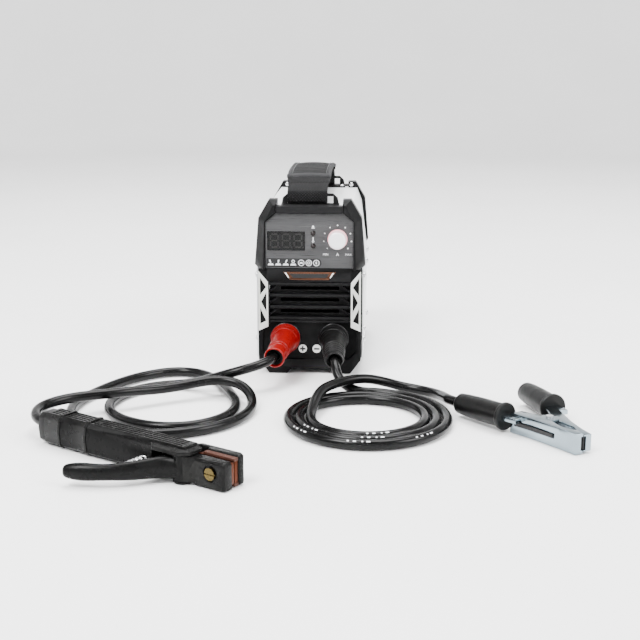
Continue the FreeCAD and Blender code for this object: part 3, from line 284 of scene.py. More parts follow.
def woven(name, dark, light, pitch=2.2):
    """A twill tape: two sets of slanted threads that cross, about `pitch` millimetres apart."""
    made = Surface(name, rough=0.78, sheen=0.03, specular=0.12)
    scale = DIAGONAL_SCALE / (pitch * MM)
    ribs = made.wave(scale, "DIAGONAL", 0.3)
    threads = made.wave(scale, "DIAGONAL", 0.3, mirrored=True)
    pattern = made.math("MULTIPLY", ribs, threads)
    tone = made.ramp(pattern, dark, light, 0.30, 0.62)
    made.colour(made.mix(made.mapped(made.noise(60.0), 0.0, 0.5), tone, dark))
    made.bump(pattern, 0.9, 0.0005)
    made.bump(made.noise(1500.0, 2.0), 0.3, 0.0002)
    return made


add("webbing", woven("webbing_weave", grey(0.0010, 0.0011), grey(0.026, 0.028)))
BINDING = woven("binding_tape", grey(0.020, 0.021), grey(0.105, 0.11), 1.2).mat
PAD_FABRIC = woven("pad_fabric", grey(0.0012, 0.0013), grey(0.018, 0.019), 1.8).mat
THREAD = plastic("thread", grey(0.10, 0.105), 0.6, grain=900, bump=0.2).mat
PRINT_WHITE = plastic("panel_print", (0.74, 0.75, 0.76), 0.5, grain=600, bump=0.05, spread=0.05).mat
# Black print, also used as painted shade in the clamp's slots and channel.
PRINT_AND_SHADE_BLACK = plastic("panel_black", grey(0.005, 0.0055), 0.34, grain=600, bump=0.05, specular=0.3).mat

SLOT_OF = {s["node"]: s["material_slot"] for s in frame["record"]["subparts"]}
BODY_OF = {n: body for body, names in frame["record"]["behaviour"]["bodies"].items() for n in names}
for node_name, node_object in NODES.items():
    node_object.data.materials.clear()
    node_object.data.materials.append(SURFACES[SLOT_OF[node_name]])


# ------------------------------------------------------------ mesh helpers

# In degrees: the edges that are rounded, and the ones that stay sharp in the shading afterwards.
ROUNDED_EDGE, SHARP_EDGE = 28.0, 32.0


def new_object(name, mesh, slot, body="case", surface=None):
    made = bpy.data.objects.new(name, mesh)
    bpy.context.scene.collection.objects.link(made)
    if not mesh.materials:
        mesh.materials.append(surface or SURFACES[slot])
    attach(made, body)
    return made


def smooth_mesh(mesh, angle=35.0):
    for polygon in mesh.polygons:
        polygon.use_smooth = True
    mesh.set_sharp_from_angle(angle=math.radians(angle))


def refined(node, bevel, segments=2, before=None):
    """A copy of a flat-faced CAD part with its real, slightly rounded edges.

    `before` changes the cleaned mesh before its small edges are rounded.
    """
    mesh = NODES[node].data.copy()
    mesh.name = node + "_shape"
    work = bmesh.new()
    work.from_mesh(mesh)
    bmesh.ops.remove_doubles(work, verts=work.verts, dist=2e-6)
    bmesh.ops.dissolve_limit(work, angle_limit=math.radians(0.6), verts=work.verts, edges=work.edges)
    if before:
        before(work)
    work.to_mesh(mesh)
    work.free()
    made = bpy.data.objects.new(node + "_visual", mesh)
    bpy.context.scene.collection.objects.link(made)
    rounding = made.modifiers.new("rounding", "BEVEL")
    rounding.width = bevel * MM
    rounding.segments = segments
    rounding.limit_method = "ANGLE"
    rounding.angle_limit = math.radians(ROUNDED_EDGE)
    rounding.use_clamp_overlap = True
    rounding.harden_normals = False
    rounding.miter_outer = "MITER_ARC"
    shaped = bpy.data.meshes.new_from_object(made.evaluated_get(bpy.context.evaluated_depsgraph_get()))
    made.modifiers.clear()
    made.data = shaped
    smooth_mesh(shaped, SHARP_EDGE)
    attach(made, BODY_OF[node])
    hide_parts(node)


def from_bmesh(name, work, slot, body="case", surface=None, angle=35.0):
    mesh = bpy.data.meshes.new(name)
    bmesh.ops.recalc_face_normals(work, faces=work.faces)
    work.to_mesh(mesh)
    work.free()
    smooth_mesh(mesh, angle)
    return new_object(name, mesh, slot, body, surface)


def loft(work, rings):
    """Joins rings of vertices into a closed skin."""
    layers = [[work.verts.new(p) for p in ring] for ring in rings]
    count = len(layers[0])
    for low, high in zip(layers, layers[1:]):
        for i in range(count):
            j = (i + 1) % count
            work.faces.new((low[i], low[j], high[j], high[i]))
    work.faces.new(list(reversed(layers[0])))
    work.faces.new(layers[-1])


def circle(count):
    """The cosine and sine of each of `count` equal steps round a circle."""
    return [(math.cos(2 * math.pi * k / count), math.sin(2 * math.pi * k / count)) for k in range(count)]


def prism(work, outline, y_front, thick):
    """A flat printed or moulded shape on the front: outline in x and z, in millimetres."""
    front = [work.verts.new(mm(a, y_front, b)) for a, b in outline]
    back = [work.verts.new(mm(a, y_front + thick, b)) for a, b in outline]
    work.faces.new(front)
    work.faces.new(list(reversed(back)))
    for i in range(len(outline)):
        j = (i + 1) % len(outline)
        work.faces.new((front[j], front[i], back[i], back[j]))


def bar(work, cx, cz, half_x, half_z, y_front, thick):
    low, high = cz - half_z, cz + half_z
    outline = [(cx - half_x, low), (cx + half_x, low), (cx + half_x, high), (cx - half_x, high)]
    prism(work, outline, y_front, thick)


def disc(cx, cz, radius, steps, start=0.0, end=360.0):
    """The outline of a disc, or of the part of it between two angles in degrees."""
    return [(cx + radius * math.cos(math.radians(start + (end - start) * k / steps)),
             cz + radius * math.sin(math.radians(start + (end - start) * k / steps)))
            for k in range(steps if end - start >= 360 else steps + 1)]


def ring(work, cx, cz, radius, width, y_front, thick, steps=24):
    for k in range(steps):
        a, b = 2 * math.pi * k / steps, 2 * math.pi * (k + 1) / steps
        quad = [(cx + r * math.cos(t), cz + r * math.sin(t))
                for r, t in ((radius, a), (radius, b), (radius - width, b), (radius - width, a))]
        prism(work, quad, y_front, thick)


def rings_along(path, radii, steps):
    """Circles across a path of points, one radius each; where the path doubles back they face as before."""
    made = []
    along = None
    for i, (point, radius) in enumerate(zip(path, radii)):
        ahead, behind = path[min(i + 1, len(path) - 1)], path[max(i - 1, 0)]
        turned = (ahead - behind).normalized()
        if along is None or turned.dot(along) > 0.5:
            along = turned
        side = along.cross(Vector((0, 0, 1))).normalized()
        up = side.cross(along)
        made.append([point + side * radius * c + up * radius * s for c, s in circle(steps)])
    return made


# ----------------------------------------------------- case and front panel

# The rounding of each part's edges in millimetres, and its segments.
for node_name, rounding_width, rounding_segments in (
    ("base_tray", 0.4, 2),
    ("front_mask", 0.7, 3),
    ("front_bezel", 0.9, 3),
    ("rear_bezel", 0.9, 3),
    ("front_louvre", 0.45, 2),
    ("rear_panel", 0.5, 2),
    ("control_panel", 0.15, 2),
    ("side_grilles", 0.25, 2),
    ("badge_plate", 0.2, 2),
    ("strap_brackets", 0.4, 2),
    ("power_switch_housing", 0.4, 2),
    ("power_rocker", 0.4, 2),
    ("mains_gland", 0.4, 2),
    ("socket_collars", 0.6, 3),
):
    refined(node_name, rounding_width, rounding_segments)

# The print on the panel, in millimetres.
PANEL_Y = -97.4
PRINT_Y, PRINT_THICK = PANEL_Y - 0.14, 0.10
# The row of icons, and how far the top of each electrode over the first three feet leans.
ICON_Z, STRIP_HALF, STRIP_LEFT, STRIP_RIGHT = 112.2, 4.3, -42.2, 7.6
FOOT_ICONS, RING_ICONS = (-38.1, -30.7, -23.3, -15.9), (-8.0, -0.6, 6.8)
LEANS = (-0.9, 0.6, 1.2)
# The dots round the dial, with their first angle and their sweep in degrees, and the two words under it.
DOTS, DOT_CIRCLE, DOT_FROM, DOT_SWEEP = 9, 13.6, 222, 264
WORDS, WORD_Z, WORD_SIZE = ((15.9, "MIN"), (38.2, "MAX")), 119.8, 3.0
LAMP_X = 3.7


def make_icon_strip():
    """The black strip behind the icons, with a round right end."""
    work = bmesh.new()
    strip = [(STRIP_LEFT, ICON_Z - STRIP_HALF)] + disc(STRIP_RIGHT, ICON_Z, STRIP_HALF, 14, -90, 90)
    prism(work, strip + [(STRIP_LEFT, ICON_Z + STRIP_HALF)], PANEL_Y - 0.08, 0.16)
    from_bmesh("icon_strip", work, "front_plastic", surface=PRINT_AND_SHADE_BLACK)


def draw_icons(work):
    """Three electrodes and a coil, each on a foot, then three ringed signs."""
    y, thick = PRINT_Y, PRINT_THICK
    for k, x in enumerate(FOOT_ICONS):
        prism(work, [(x - 3.0, 109.6), (x + 3.0, 109.6), (x + 2.0, 111.4), (x - 2.0, 111.4)], y, thick)
        if k < len(LEANS):
            top = x + LEANS[k]
            rod = [(x - 0.5, 112.0), (x + 0.5, 112.0), (top + 0.7, 115.0), (top - 0.9, 115.0)]
            prism(work, rod, y, thick)
        else:
            ring(work, x, 113.6, 1.6, 0.6, y, thick, 16)
    for k, x in enumerate(RING_ICONS):
        ring(work, x, ICON_Z, 3.1, 0.6, y, thick)
        if k == 0:
            prism(work, disc(x, 111.4, 1.7, 12, 0, 180), y, thick)
        elif k == 1:
            ring(work, x, ICON_Z, 1.5, 0.6, y, thick, 16)
        else:
            prism(work, [(x + 0.5, 114.4), (x - 1.2, 111.9), (x - 0.1, 111.9)], y, thick)
            prism(work, [(x - 0.5, 110.0), (x + 1.2, 112.5), (x + 0.1, 112.5)], y, thick)


def draw_dial(work):
    """Dots that grow clockwise round the knob, and a small roof under it."""
    for k in range(DOTS):
        turn = math.radians(DOT_FROM - DOT_SWEEP * k / (DOTS - 1))
        x, z = DIAL_X + DOT_CIRCLE * math.cos(turn), DIAL_Z + DOT_CIRCLE * math.sin(turn)
        prism(work, disc(x, z, 0.45 + 0.05 * k, 10), PRINT_Y, PRINT_THICK)
    roof = [(26.2, 119.6), (26.9, 119.6), (27.6, 121.2), (28.3, 119.6), (29.0, 119.6), (27.6, 122.6)]
    prism(work, roof, PRINT_Y, PRINT_THICK)


def draw_lamp_marks(work):
    """A small bell above the upper lamp and a thermometer above the lower one."""
    bar(work, LAMP_X, 146.7, 1.5, 0.3, PRINT_Y, PRINT_THICK)
    prism(work, [(2.6, 147.4), (4.8, 147.4), (4.4, 149.0), (3.0, 149.0)], PRINT_Y, PRINT_THICK)
    ring(work, LAMP_X, 133.6, 1.1, 0.5, PRINT_Y, PRINT_THICK, 14)
    bar(work, LAMP_X, 136.1, 0.4, 1.5, PRINT_Y, PRINT_THICK)


def make_dial_words():
    for x, text in WORDS:
        word = bpy.data.curves.new("dial_" + text.lower(), "FONT")
        word.body = text
        word.size = WORD_SIZE * MM
        word.align_x = "CENTER"
        word.extrude = 0.04 * MM
        label = bpy.data.objects.new("dial_word_" + text.lower(), word)
        bpy.context.scene.collection.objects.link(label)
        label.location = mm(x, PANEL_Y - 0.10, WORD_Z)
        label.rotation_euler = Euler((math.pi / 2, 0, 0))
        word.materials.append(PRINT_WHITE)
        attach(label, "case")


def make_panel_symbols():
    """All the white print but the two words, as one mesh."""
    work = bmesh.new()
    draw_icons(work)
    draw_dial(work)
    draw_lamp_marks(work)
    from_bmesh("panel_symbols", work, "white_marks", surface=PRINT_WHITE)


make_icon_strip()
make_dial_words()
make_panel_symbols()

# The polarity signs: each bar's half length and half width, and the distance of the discs from the middle.
SIGN_X, SIGN_Z, SIGN_LONG, SIGN_WIDE = 7.0, 24.7, 2.8, 0.9
SIGN_Y, MARK_DEPTH = -95.03, 0.35


def make_front_marks():
    """The badge's dark field and silver corners, and the signs on the two polarity discs."""
    field = bmesh.new()
    prism(field, [(-19.6, 101.3), (19.6, 101.3), (16.2, 97.3), (-16.2, 97.3)], -98.05, MARK_DEPTH)
    for x in (-SIGN_X, SIGN_X):
        bar(field, x, SIGN_Z, SIGN_LONG, SIGN_WIDE, SIGN_Y, MARK_DEPTH)
    bar(field, -SIGN_X, SIGN_Z, 0.8, 2.7, SIGN_Y - 0.03, MARK_DEPTH)
    from_bmesh("front_dark_marks", field, "front_plastic", surface=PRINT_AND_SHADE_BLACK)
    corners = bmesh.new()
    for side in (-1, 1):
        corner = [(side * 22.8, 102.5), (side * 24.4, 102.5), (side * 20.6, 97.0), (side * 20.1, 97.8)]
        prism(corners, corner, -98.55, 0.3)
    from_bmesh("badge_corners", corners, "silver_trim")


make_front_marks()


# --------------------------------------------------------------- the strap

# The arch of the webbing, in millimetres: half its length, its height at the ends and at the top, and the
# power that makes it flat on top.
STRAP_END, STRAP_BASE, STRAP_APEX, STRAP_POWER = 84.2, 181.5, 196.0, 3.2
STRAP_SHIFT, STRAP_HALF = -2.7, 19.7
# Half the webbing's thickness, and where its arch meets the folded ends.
TAPE_HALF, TAPE_REACH, TAPE_STEPS = 1.2, 82.8, 90
# One end of the webbing: down outside the bracket's bar, through its slot and up inside.
STRAP_FOLD = [(83.9, 180.3), (84.2, 179.2), (84.2, 172.0), (83.9, 170.9), (83.0, 170.4), (79.8, 170.4),
              (78.9, 170.9), (78.6, 172.0), (78.6, 178.9)]


def strap_point(y, lift):
    """A point `lift` above the webbing's upper face, in millimetres."""
    def height(v):
        return STRAP_BASE + (STRAP_APEX - STRAP_BASE) * (1 - (abs(v) / STRAP_END) ** STRAP_POWER)
    slope = (height(y + 0.01) - height(y - 0.01)) / 0.02
    length = math.hypot(1, slope)
    return y - slope / length * lift, height(y) + lift / length


def make_tape():
    """The webbing, from one folded end to the other."""
    along = [-TAPE_REACH + 2 * TAPE_REACH * k / TAPE_STEPS for k in range(TAPE_STEPS + 1)]
    arch = [strap_point(y, -TAPE_HALF) for y in along]
    path = [(-y, z) for y, z in reversed(STRAP_FOLD)] + arch + STRAP_FOLD
    edge = STRAP_HALF - 0.5
    section = [(-STRAP_HALF, 0.6), (-edge, 1.15)] + [(x, TAPE_HALF) for x in (-12, -6, 0, 6, 12)]
    section += [(edge, 1.15), (STRAP_HALF, 0.6)]
    section += [(x, -level) for x, level in reversed(section)]
    rings = []
    for k, (y, z) in enumerate(path):
        ahead, behind = path[min(k + 1, len(path) - 1)], path[max(k - 1, 0)]
        along = Vector((ahead[0] - behind[0], ahead[1] - behind[1])).normalized()
        rings.append([mm(STRAP_SHIFT + x, y - along.y * level, z + along.x * level) for x, level in section])
    work = bmesh.new()
    loft(work, rings)
    tape = from_bmesh("strap_tape", work, "webbing", angle=50.0)
    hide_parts("strap_webbing")


def strap_band(name, y_from, y_to, section, surface, steps=80, wrinkle=0.0):
    """A band on the webbing that thins at its ends; section lists (x, lift) points, in millimetres."""
    work = bmesh.new()
    rings = []
    for k in range(steps + 1):
        y = y_from + (y_to - y_from) * k / steps
        squeeze = min(1.0, 0.55 + 0.15 * min(k, steps - k))
        ring_points = []
        for x, lift in section:
            wave = wrinkle * math.sin(y * 0.31 + x * 0.12) * math.sin(y * 0.11 + 1.3)
            level = lift if lift <= 0.5 else 0.4 + (lift - 0.4) * squeeze
            py, pz = strap_point(y, level + (wave if lift > 1 else 0.0))
            ring_points.append(mm(STRAP_SHIFT + x, py, pz))
        rings.append(ring_points)
    loft(work, rings)
    return from_bmesh(name, work, "webbing", surface=surface, angle=60.0)


def round_bar(work, x_from, x_to, y, lift, half_length, half_height, steps=30):
    """A rounded bar across the strap, like the bound end of the pad."""
    rings = []
    for k in range(steps + 1):
        x = x_from + (x_to - x_from) * k / steps
        share = math.sin(math.pi * (0.04 + 0.92 * k / steps)) ** 0.25
        py, pz = strap_point(y, lift)
        rings.append([mm(x, py + half_length * share * c, pz + half_height * share * s)
                      for c, s in circle(16)])
    loft(work, rings)


# Half lengths along the strap of the cushion and its side bindings, and how far out its end bindings lie.
CUSHION_HALF, BINDING_HALF, END_BINDING = 56.5, 58.0, 57.0
END_BINDING_HALF = 22.0
SLEEVE_LENGTH, SLEEVE_HALF, SLEEVE_FULL, SLEEVE_STEPS = 15.0, 21.3, 2.4, 8


def make_cushion():
    """The dark crowned panel."""
    count, half = 20, 18.8
    crown = [(half * (2 * k / count - 1), 1.3 + 1.5 * (1 - (2 * k / count - 1) ** 2) ** 0.6)
             for k in range(count + 1)]
    under = [(x, 0.25) for x, level in reversed(crown)]
    pad = strap_band("strap_cushion", -CUSHION_HALF, CUSHION_HALF, crown + under, PAD_FABRIC, wrinkle=0.3)
    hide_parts("strap_pad")


def make_side_bindings():
    """The paler tape down both long edges."""
    for side, name in ((-1, "left"), (1, "right")):
        edge = [(side * (19.6 + 2.4 * c), 0.6 + 2.0 * s) for c, s in circle(16)]
        strap_band("strap_binding_" + name, -BINDING_HALF, BINDING_HALF, edge, BINDING)


def make_sleeve_ends():
    """The sleeve's two ends: full rolls of webbing that droop past the bound edge."""
    for side, name in ((-1, "front"), (1, "rear")):
        work = bmesh.new()
        rings = []
        for k in range(SLEEVE_STEPS + 1):
            share = k / SLEEVE_STEPS
            width = SLEEVE_HALF - 1.6 * share ** 3
            full = SLEEVE_FULL * math.sqrt(max(0.02, 1 - share ** 2))
            y = side * (END_BINDING + SLEEVE_LENGTH * share)
            # The sides of the oval are cut off flat at the sleeve's width.
            flat = [(max(-width, min(width, 1.25 * width * c)), -0.6 + full * s) for c, s in circle(24)]
            rings.append([mm(STRAP_SHIFT + x, *strap_point(y, level)) for x, level in flat])
        loft(work, rings)
        from_bmesh("strap_sleeve_" + name, work, "webbing", angle=60.0)


def make_end_bindings():
    """The paler rolls across both ends; the front one is fuller."""
    for side, name, bulge in ((-1, "front", 1.25), (1, "rear", 1.0)):
        work = bmesh.new()
        left, right = STRAP_SHIFT - END_BINDING_HALF, STRAP_SHIFT + END_BINDING_HALF
        round_bar(work, left, right, side * END_BINDING, 0.9, 3.2 * bulge, 2.7 * bulge)
        from_bmesh("strap_binding_" + name, work, "webbing", surface=BINDING, angle=60.0)


STITCHES, STITCH_STEP, STITCH_HALF, STITCH_FROM, STITCH_X = 31, 3.6, 1.1, -54.0, 17.0


def make_stitches():
    """A row of stitches inside each side binding."""
    work = bmesh.new()
    for side in (-1, 1):
        x = STRAP_SHIFT + side * STITCH_X
        for k in range(STITCHES):
            middle = STITCH_FROM + STITCH_STEP * k
            bow = ((strap_point(middle - STITCH_HALF, 2.3), 0.12), (strap_point(middle, 2.45), 0.32),
                   (strap_point(middle + STITCH_HALF, 2.3), 0.12))
            loft(work, [[mm(x + r * c, y, z + r * s) for c, s in circle(6)] for (y, z), r in bow])
    from_bmesh("strap_stitches", work, "webbing", surface=THREAD, angle=60.0)


make_tape()
make_cushion()
make_side_bindings()
make_sleeve_ends()
make_end_bindings()
make_stitches()


# ------------------------------------------------------- plugs and sockets

RED_TAIL = Vector((-30.0, -154.0, 30.5))
BLACK_TAIL = Vector((27.0, -150.0, 27.5))


def smooth_step(t):
    return t * t * (3 - 2 * t)


# Radii of the boots in millimetres, at shares of their length: the flange at the socket, then each taper.
FLANGE = [(0.0, 14.7), (0.045, 14.8), (0.07, 14.3), (0.10, 13.4), (0.13, 13.2), (0.17, 13.5), (0.20, 12.6)]
RED_TAPER = [(0.27, 11.9), (0.40, 11.3), (0.52, 10.8), (0.62, 10.1), (0.70, 9.5), (0.90, 9.1), (1.0, 9.3)]
BLACK_TAPER = [(0.27, 11.9), (0.40, 11.3), (0.52, 10.8), (0.62, 10.1), (0.70, 9.6), (0.90, 8.8), (1.0, 8.4)]
# The ribs: the middle and half width of each as shares of the length, and its height.
RED_RIBS = [(0.66, 0.012, 0.55), (0.74, 0.012, 0.5), (0.985, 0.02, 0.7)]
BLACK_RIBS = [(0.60 + 0.075 * k, 0.022, 1.0) for k in range(5)]
SOCKET_X, SOCKET_FACE, SOCKET_Z = 24.0, -97.1, 36.0
BOOT_STEPS, BOOT_STRAIGHT, BOOT_EASE = 120, 9.0, 8.0
CABLE_BORE = 4.7
# Steps along the boot past its lip, and what each takes off the lip's radius; then depths in its bore.
MOUTH_LIP, MOUTH_BORE = [(0.4, 0.4), (0.4, 1.0), (0.0, 1.3), (-6.0, 1.6)], [16.0]
# The same for the black piece in the mouth, which is painted shade for the mouth's shadowed inside.
MOUTH_SHADE_LIP, MOUTH_SHADE_BORE = [(-6.2, 1.9), (-2.2, 1.7), (-2.1, 2.5)], [4.0, 10.0]


def boot_radius(t, profile, ribs):
    for (a, ra), (b, rb) in zip(profile, profile[1:]):
        if a <= t <= b:
            radius = ra + (rb - ra) * smooth_step((t - a) / (b - a))
            break
    for centre, width, depth in ribs:
        gap = abs(t - centre) / width
        if gap < 1:
            radius += depth * (1 - gap ** 4)
    return radius


def mouth_rings(lip, along, rim, lip_steps, bore_depths):
    """The rings round a boot's lip and on to its cable."""
    path = [lip + along * (ahead * MM) for ahead, less in lip_steps]
    path += [lip - along * (depth * MM) for depth in bore_depths]
    radii = [rim - less * MM for ahead, less in lip_steps] + [CABLE_BORE * MM] * len(bore_depths)
    return path, radii


def make_boot(name, socket_x, tail, slot, node, taper, ribs):
    """A rubber plug boot: a broad flange at the socket, a waist and a tail that droops to its cable."""
    start = Vector((socket_x, SOCKET_FACE, SOCKET_Z))
    bend = start + Vector((0, -BOOT_STRAIGHT, 0))
    first = (bend - start).length
    total = first + (tail - bend).length
    path, radii = [], []
    for k in range(BOOT_STEPS + 1):
        t = k / BOOT_STEPS
        reached = t * total
        if reached < first:
            point = start.lerp(bend, reached / first)
        else:
            point = bend.lerp(tail, (reached - first) / (total - first))
        # The corner between the two straight stretches is eased.
        near = max(0.0, 1 - abs(reached - first) / BOOT_EASE)
        toward = (start.lerp(tail, t) - point) * 0.25 * near * near
        path.append((point + toward) * MM)
        radii.append(boot_radius(t, FLANGE + taper, ribs) * MM)
    # The lip is rounded, and the mouth narrows inwards to the cable.
    along = (path[-1] - path[-2]).normalized()
    lip, rim = path[-1], radii[-1]
    mouth_path, mouth_radii = mouth_rings(lip, along, rim, MOUTH_LIP, MOUTH_BORE)
    work = bmesh.new()
    loft(work, rings_along(path + mouth_path, radii + mouth_radii, 56))
    made = from_bmesh(name, work, slot, angle=40.0)
    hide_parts(node)
    # A black sleeve round the cable fills the mouth: painted shade for the mouth's shadowed inside.
    mouth_shade = bmesh.new()
    loft(mouth_shade, rings_along(*mouth_rings(lip, along, rim, MOUTH_SHADE_LIP, MOUTH_SHADE_BORE), 40))
    from_bmesh(name + "_bush", mouth_shade, "black_rubber", angle=40.0)
    return made


red_boot = make_boot("red_plug_boot", -SOCKET_X, RED_TAIL, "red_rubber", "plug_boot_positive",
                     RED_TAPER, RED_RIBS)
black_boot = make_boot("black_plug_boot", SOCKET_X, BLACK_TAIL, "black_rubber", "plug_boot_negative",
                       BLACK_TAPER, BLACK_RIBS)


# ------------------------------------------------------------------ cables

# The cables' radius, which is also the height of their middle where they lie on the floor.
REST = 4.5


def placed(x, y, degrees):
    return Matrix.Translation((x, y, 0)) @ Matrix.Rotation(math.radians(degrees), 4, "Z")


# Where the two tools lie, and the ends of the clamp's fixed grip in the clamp's own frame.
HOLDER = placed(-201.0, -325.0, -32.3)
CLAMP = placed(234.8, -325.3, -61.6)
GRIP_FRONT, GRIP_REAR = Vector((-74.2, -23.9, 13.1)), Vector((-129.2, -35.9, 11.6))


def spiral(centre, radii, start, turns, pitch, points_per_turn=14):
    """Loose turns that lie flat and shrink by `pitch` each, in millimetres."""
    route = []
    for k in range(int(turns * points_per_turn) + 1):
        angle = math.radians(start + 360.0 * k / points_per_turn)
        inwards = pitch * k / points_per_turn
        loose = 1.0 + 0.008 * math.sin(2.3 * angle + 1.0)
        route.append(Vector((centre[0] + (radii[0] - inwards) * loose * math.sin(angle),
                             centre[1] + (radii[1] - inwards) * loose * math.cos(angle), REST)))
    return route


def ground_route():
    landing = [(28.5, -159, 23), (31.8, -167.2, 15.5), (39, -173.5, 9.3), (52, -177.3, 5)]
    over_and_out = [(12.2, -239.5, 9), (14.2, -226, 13.5), (18.5, -212.5, 17), (25.8, -199, 17.5),
                    (35.5, -187, 17.5), (48, -176.5, 17.5), (61.5, -168.5, 15.5), (76, -163, 11),
                    (91, -161.5, 6.5), (106, -165.5, 5), (118.5, -174.5, 5), (126.5, -188, 6.5),
                    (130, -203.5, 9)]
    rear = CLAMP @ GRIP_REAR
    along = (CLAMP @ GRIP_FRONT - rear).normalized()
    route = [BLACK_TAIL + Vector((-0.5, 7.9, 1.5)), BLACK_TAIL] + [Vector(p) for p in landing]
    route += spiral(centre=(58.5, -254), radii=(76, 78), start=10, turns=2.72, pitch=10.4)
    return route + [Vector(p) for p in over_and_out] + [rear - along * 13.0, rear + along * 10.0]


def electrode_route():
    points = [
        (-35.8, -163.8, 29.2), (-45.3, -172.7, 27.3), (-57.4, -177.4, 24.6), (-71.4, -177.1, 20.5),
        (-85.7, -172.5, 15), (-101, -165.5, 9), (-117, -160.5, 5), (-133, -163, REST), (-149, -172, REST),
        (-162, -186, REST), (-170, -203, REST), (-173, -222, REST), (-170, -242, REST), (-161, -260, REST),
        (-147, -275, REST), (-130, -285, REST), (-111, -290, REST), (-92, -287, REST), (-75, -276, REST),
        (-63, -259, REST), (-57.5, -237, REST), (-59, -214, REST), (-65.5, -193, REST), (-73, -173, REST),
        (-82, -152, REST), (-93, -133.5, REST), (-106.5, -119.5, REST), (-124.5, -113, REST),
        (-143.5, -117.5, REST),
        (-161, -132, REST), (-175, -150, REST), (-186, -171, REST), (-195, -193, REST), (-202, -216, REST),
        (-204, -239, REST), (-199, -261, REST), (-188, -280, REST), (-172, -295, REST), (-152, -305, REST),
        (-131, -310, REST), (-109, -308.5, REST), (-89, -301.5, REST), (-71, -290, REST), (-56.5, -274, REST),
        (-47, -254, REST), (-43.5, -234, REST), (-43.7, -218.5, 5.5), (-47.5, -203.8, 10),
        (-56.7, -192.2, 14.3), (-70, -186.4, 16.6), (-84.5, -187.4, 17), (-98, -192.3, 16),
        (-111, -199, 14.7), (-123.5, -206.2, 14.2), (-133.5, -212.4, 14.5), (-142, -218, 15.3),
        (-157, -229, 17), (-171, -237.5, 17.5), (-185.5, -243.5, 17.5),
        (-199, -250, 17.3), (-210, -259.3, 17), (-218.6, -270.9, 16.5), (-221.6, -285.1, 16),
        (-218.4, -299.2, 15.3),
    ]
    end = HOLDER @ Vector((-8.0, 7.5, 14.0))
    along = HOLDER.to_3x3() @ Vector((1, 0, 0))
    route = [RED_TAIL + Vector((1.4, 11.8, 1.3)), RED_TAIL + Vector((0, 2, 0.1))] + [Vector(p) for p in points]
    return route + [end - along * 6.7 + Vector((0, 0, 0.5)), end + along * 8.0]


def cable_curve(name, route):
    """A smooth line near the route's points."""
    curve = bpy.data.curves.new(name, "CURVE")
    curve.dimensions = "3D"
    line = curve.splines.new("NURBS")
    line.points.add(len(route) - 1)
    for control, point in zip(line.points, route):
        control.co = (*(point * MM), 1)
    line.order_u = 3
    line.use_endpoint_u = True
    curve.resolution_u = 8
    return curve


def make_cable(name, route, node):
    curve = cable_curve(name, route)
    curve.bevel_depth = REST * MM
    curve.bevel_resolution = 7
    curve.use_fill_caps = True
    curve.materials.append(SURFACES["cable_rubber"])
    made = bpy.data.objects.new(name, curve)
    bpy.context.scene.collection.objects.link(made)
    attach(made, "case")
    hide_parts(node)


# The groups of white dashes, in metres: one every MARK_STEP, where the cable lies in front of MARK_FRONT.
MARK_STEP, MARK_FRONT = 0.057, -0.295
DASHES, DASH_STEP = (0.0030, 0.0012, 0.0024, 0.0016), 0.0056
# The dashes' outer and inner radius from the cable's middle, and their place round it, degrees from the top.
DASH_TOP, DASH_ROOT, DASH_FAN = 0.00462, 0.00440, (29, 36, 43)
DASH_RINGS = 5


def route_points(name, route):
    """Closely spaced points along the cable's middle."""
    curve = cable_curve(name, route)
    guide = bpy.data.objects.new(name, curve)
    bpy.context.scene.collection.objects.link(guide)
    line_mesh = bpy.data.meshes.new_from_object(guide)
    points = [v.co.copy() for v in line_mesh.vertices]
    bpy.data.objects.remove(guide)
    bpy.data.meshes.remove(line_mesh)
    bpy.data.curves.remove(curve)
    return points


def make_sheath_marks(name, route):
    """Groups of short raised white dashes on the sheath."""
    points = route_points(name + "_line", route)
    reached = [0.0]
    for before, after in zip(points, points[1:]):
        reached.append(reached[-1] + (after - before).length)

    def at(distance):
        k = next(i for i, value in enumerate(reached) if value >= distance)
        share = (distance - reached[k - 1]) / (reached[k] - reached[k - 1])
        return points[k - 1].lerp(points[k], share), (points[k] - points[k - 1]).normalized()

    fan = [math.radians(a) for a in DASH_FAN]
    work = bmesh.new()
    places = [MARK_STEP * k for k in range(1, int(reached[-1] / MARK_STEP))]
    for start in [place for place in places if at(place)[0].y < MARK_FRONT]:
        for dash, length in enumerate(DASHES):
            rings = []
            for step in range(DASH_RINGS):
                centre, along = at(start + dash * DASH_STEP + length * step / (DASH_RINGS - 1))
                side = along.cross(Vector((0, 0, 1))).normalized()
                if side.y > 0:
                    side = -side
                up = side.cross(along) if side.cross(along).z > 0 else along.cross(side)
                rings.append([centre + (up * math.cos(t) + side * math.sin(t)) * radius
                              for radius, turns in ((DASH_TOP, fan), (DASH_ROOT, fan[::-1])) for t in turns])
            loft(work, rings)
    return from_bmesh(name, work, "white_marks", surface=PRINT_WHITE)


# Where black slabs paint the shade inside the clamp: the slots in the jaws' ends, a few tenths of a millimetre
# inside their walls, and the channel of the arm.
SLOT_FLOOR = [[(-2.9, y), (-1.6, y), (-1.6, y + 1.8), (-2.9, y + 1.8)] for y in (-2.3, 0.5)]
SLOT_LOW, SLOT_HIGH = 3.1, 14.4
CHANNEL = [(-25, -12.9), (-25, -11.3), (-50, -16.1), (-65, -20.5), (-65, -22.2), (-50, -18.0)]
CHANNEL_LOW, CHANNEL_HIGH = 7.6, 10.8


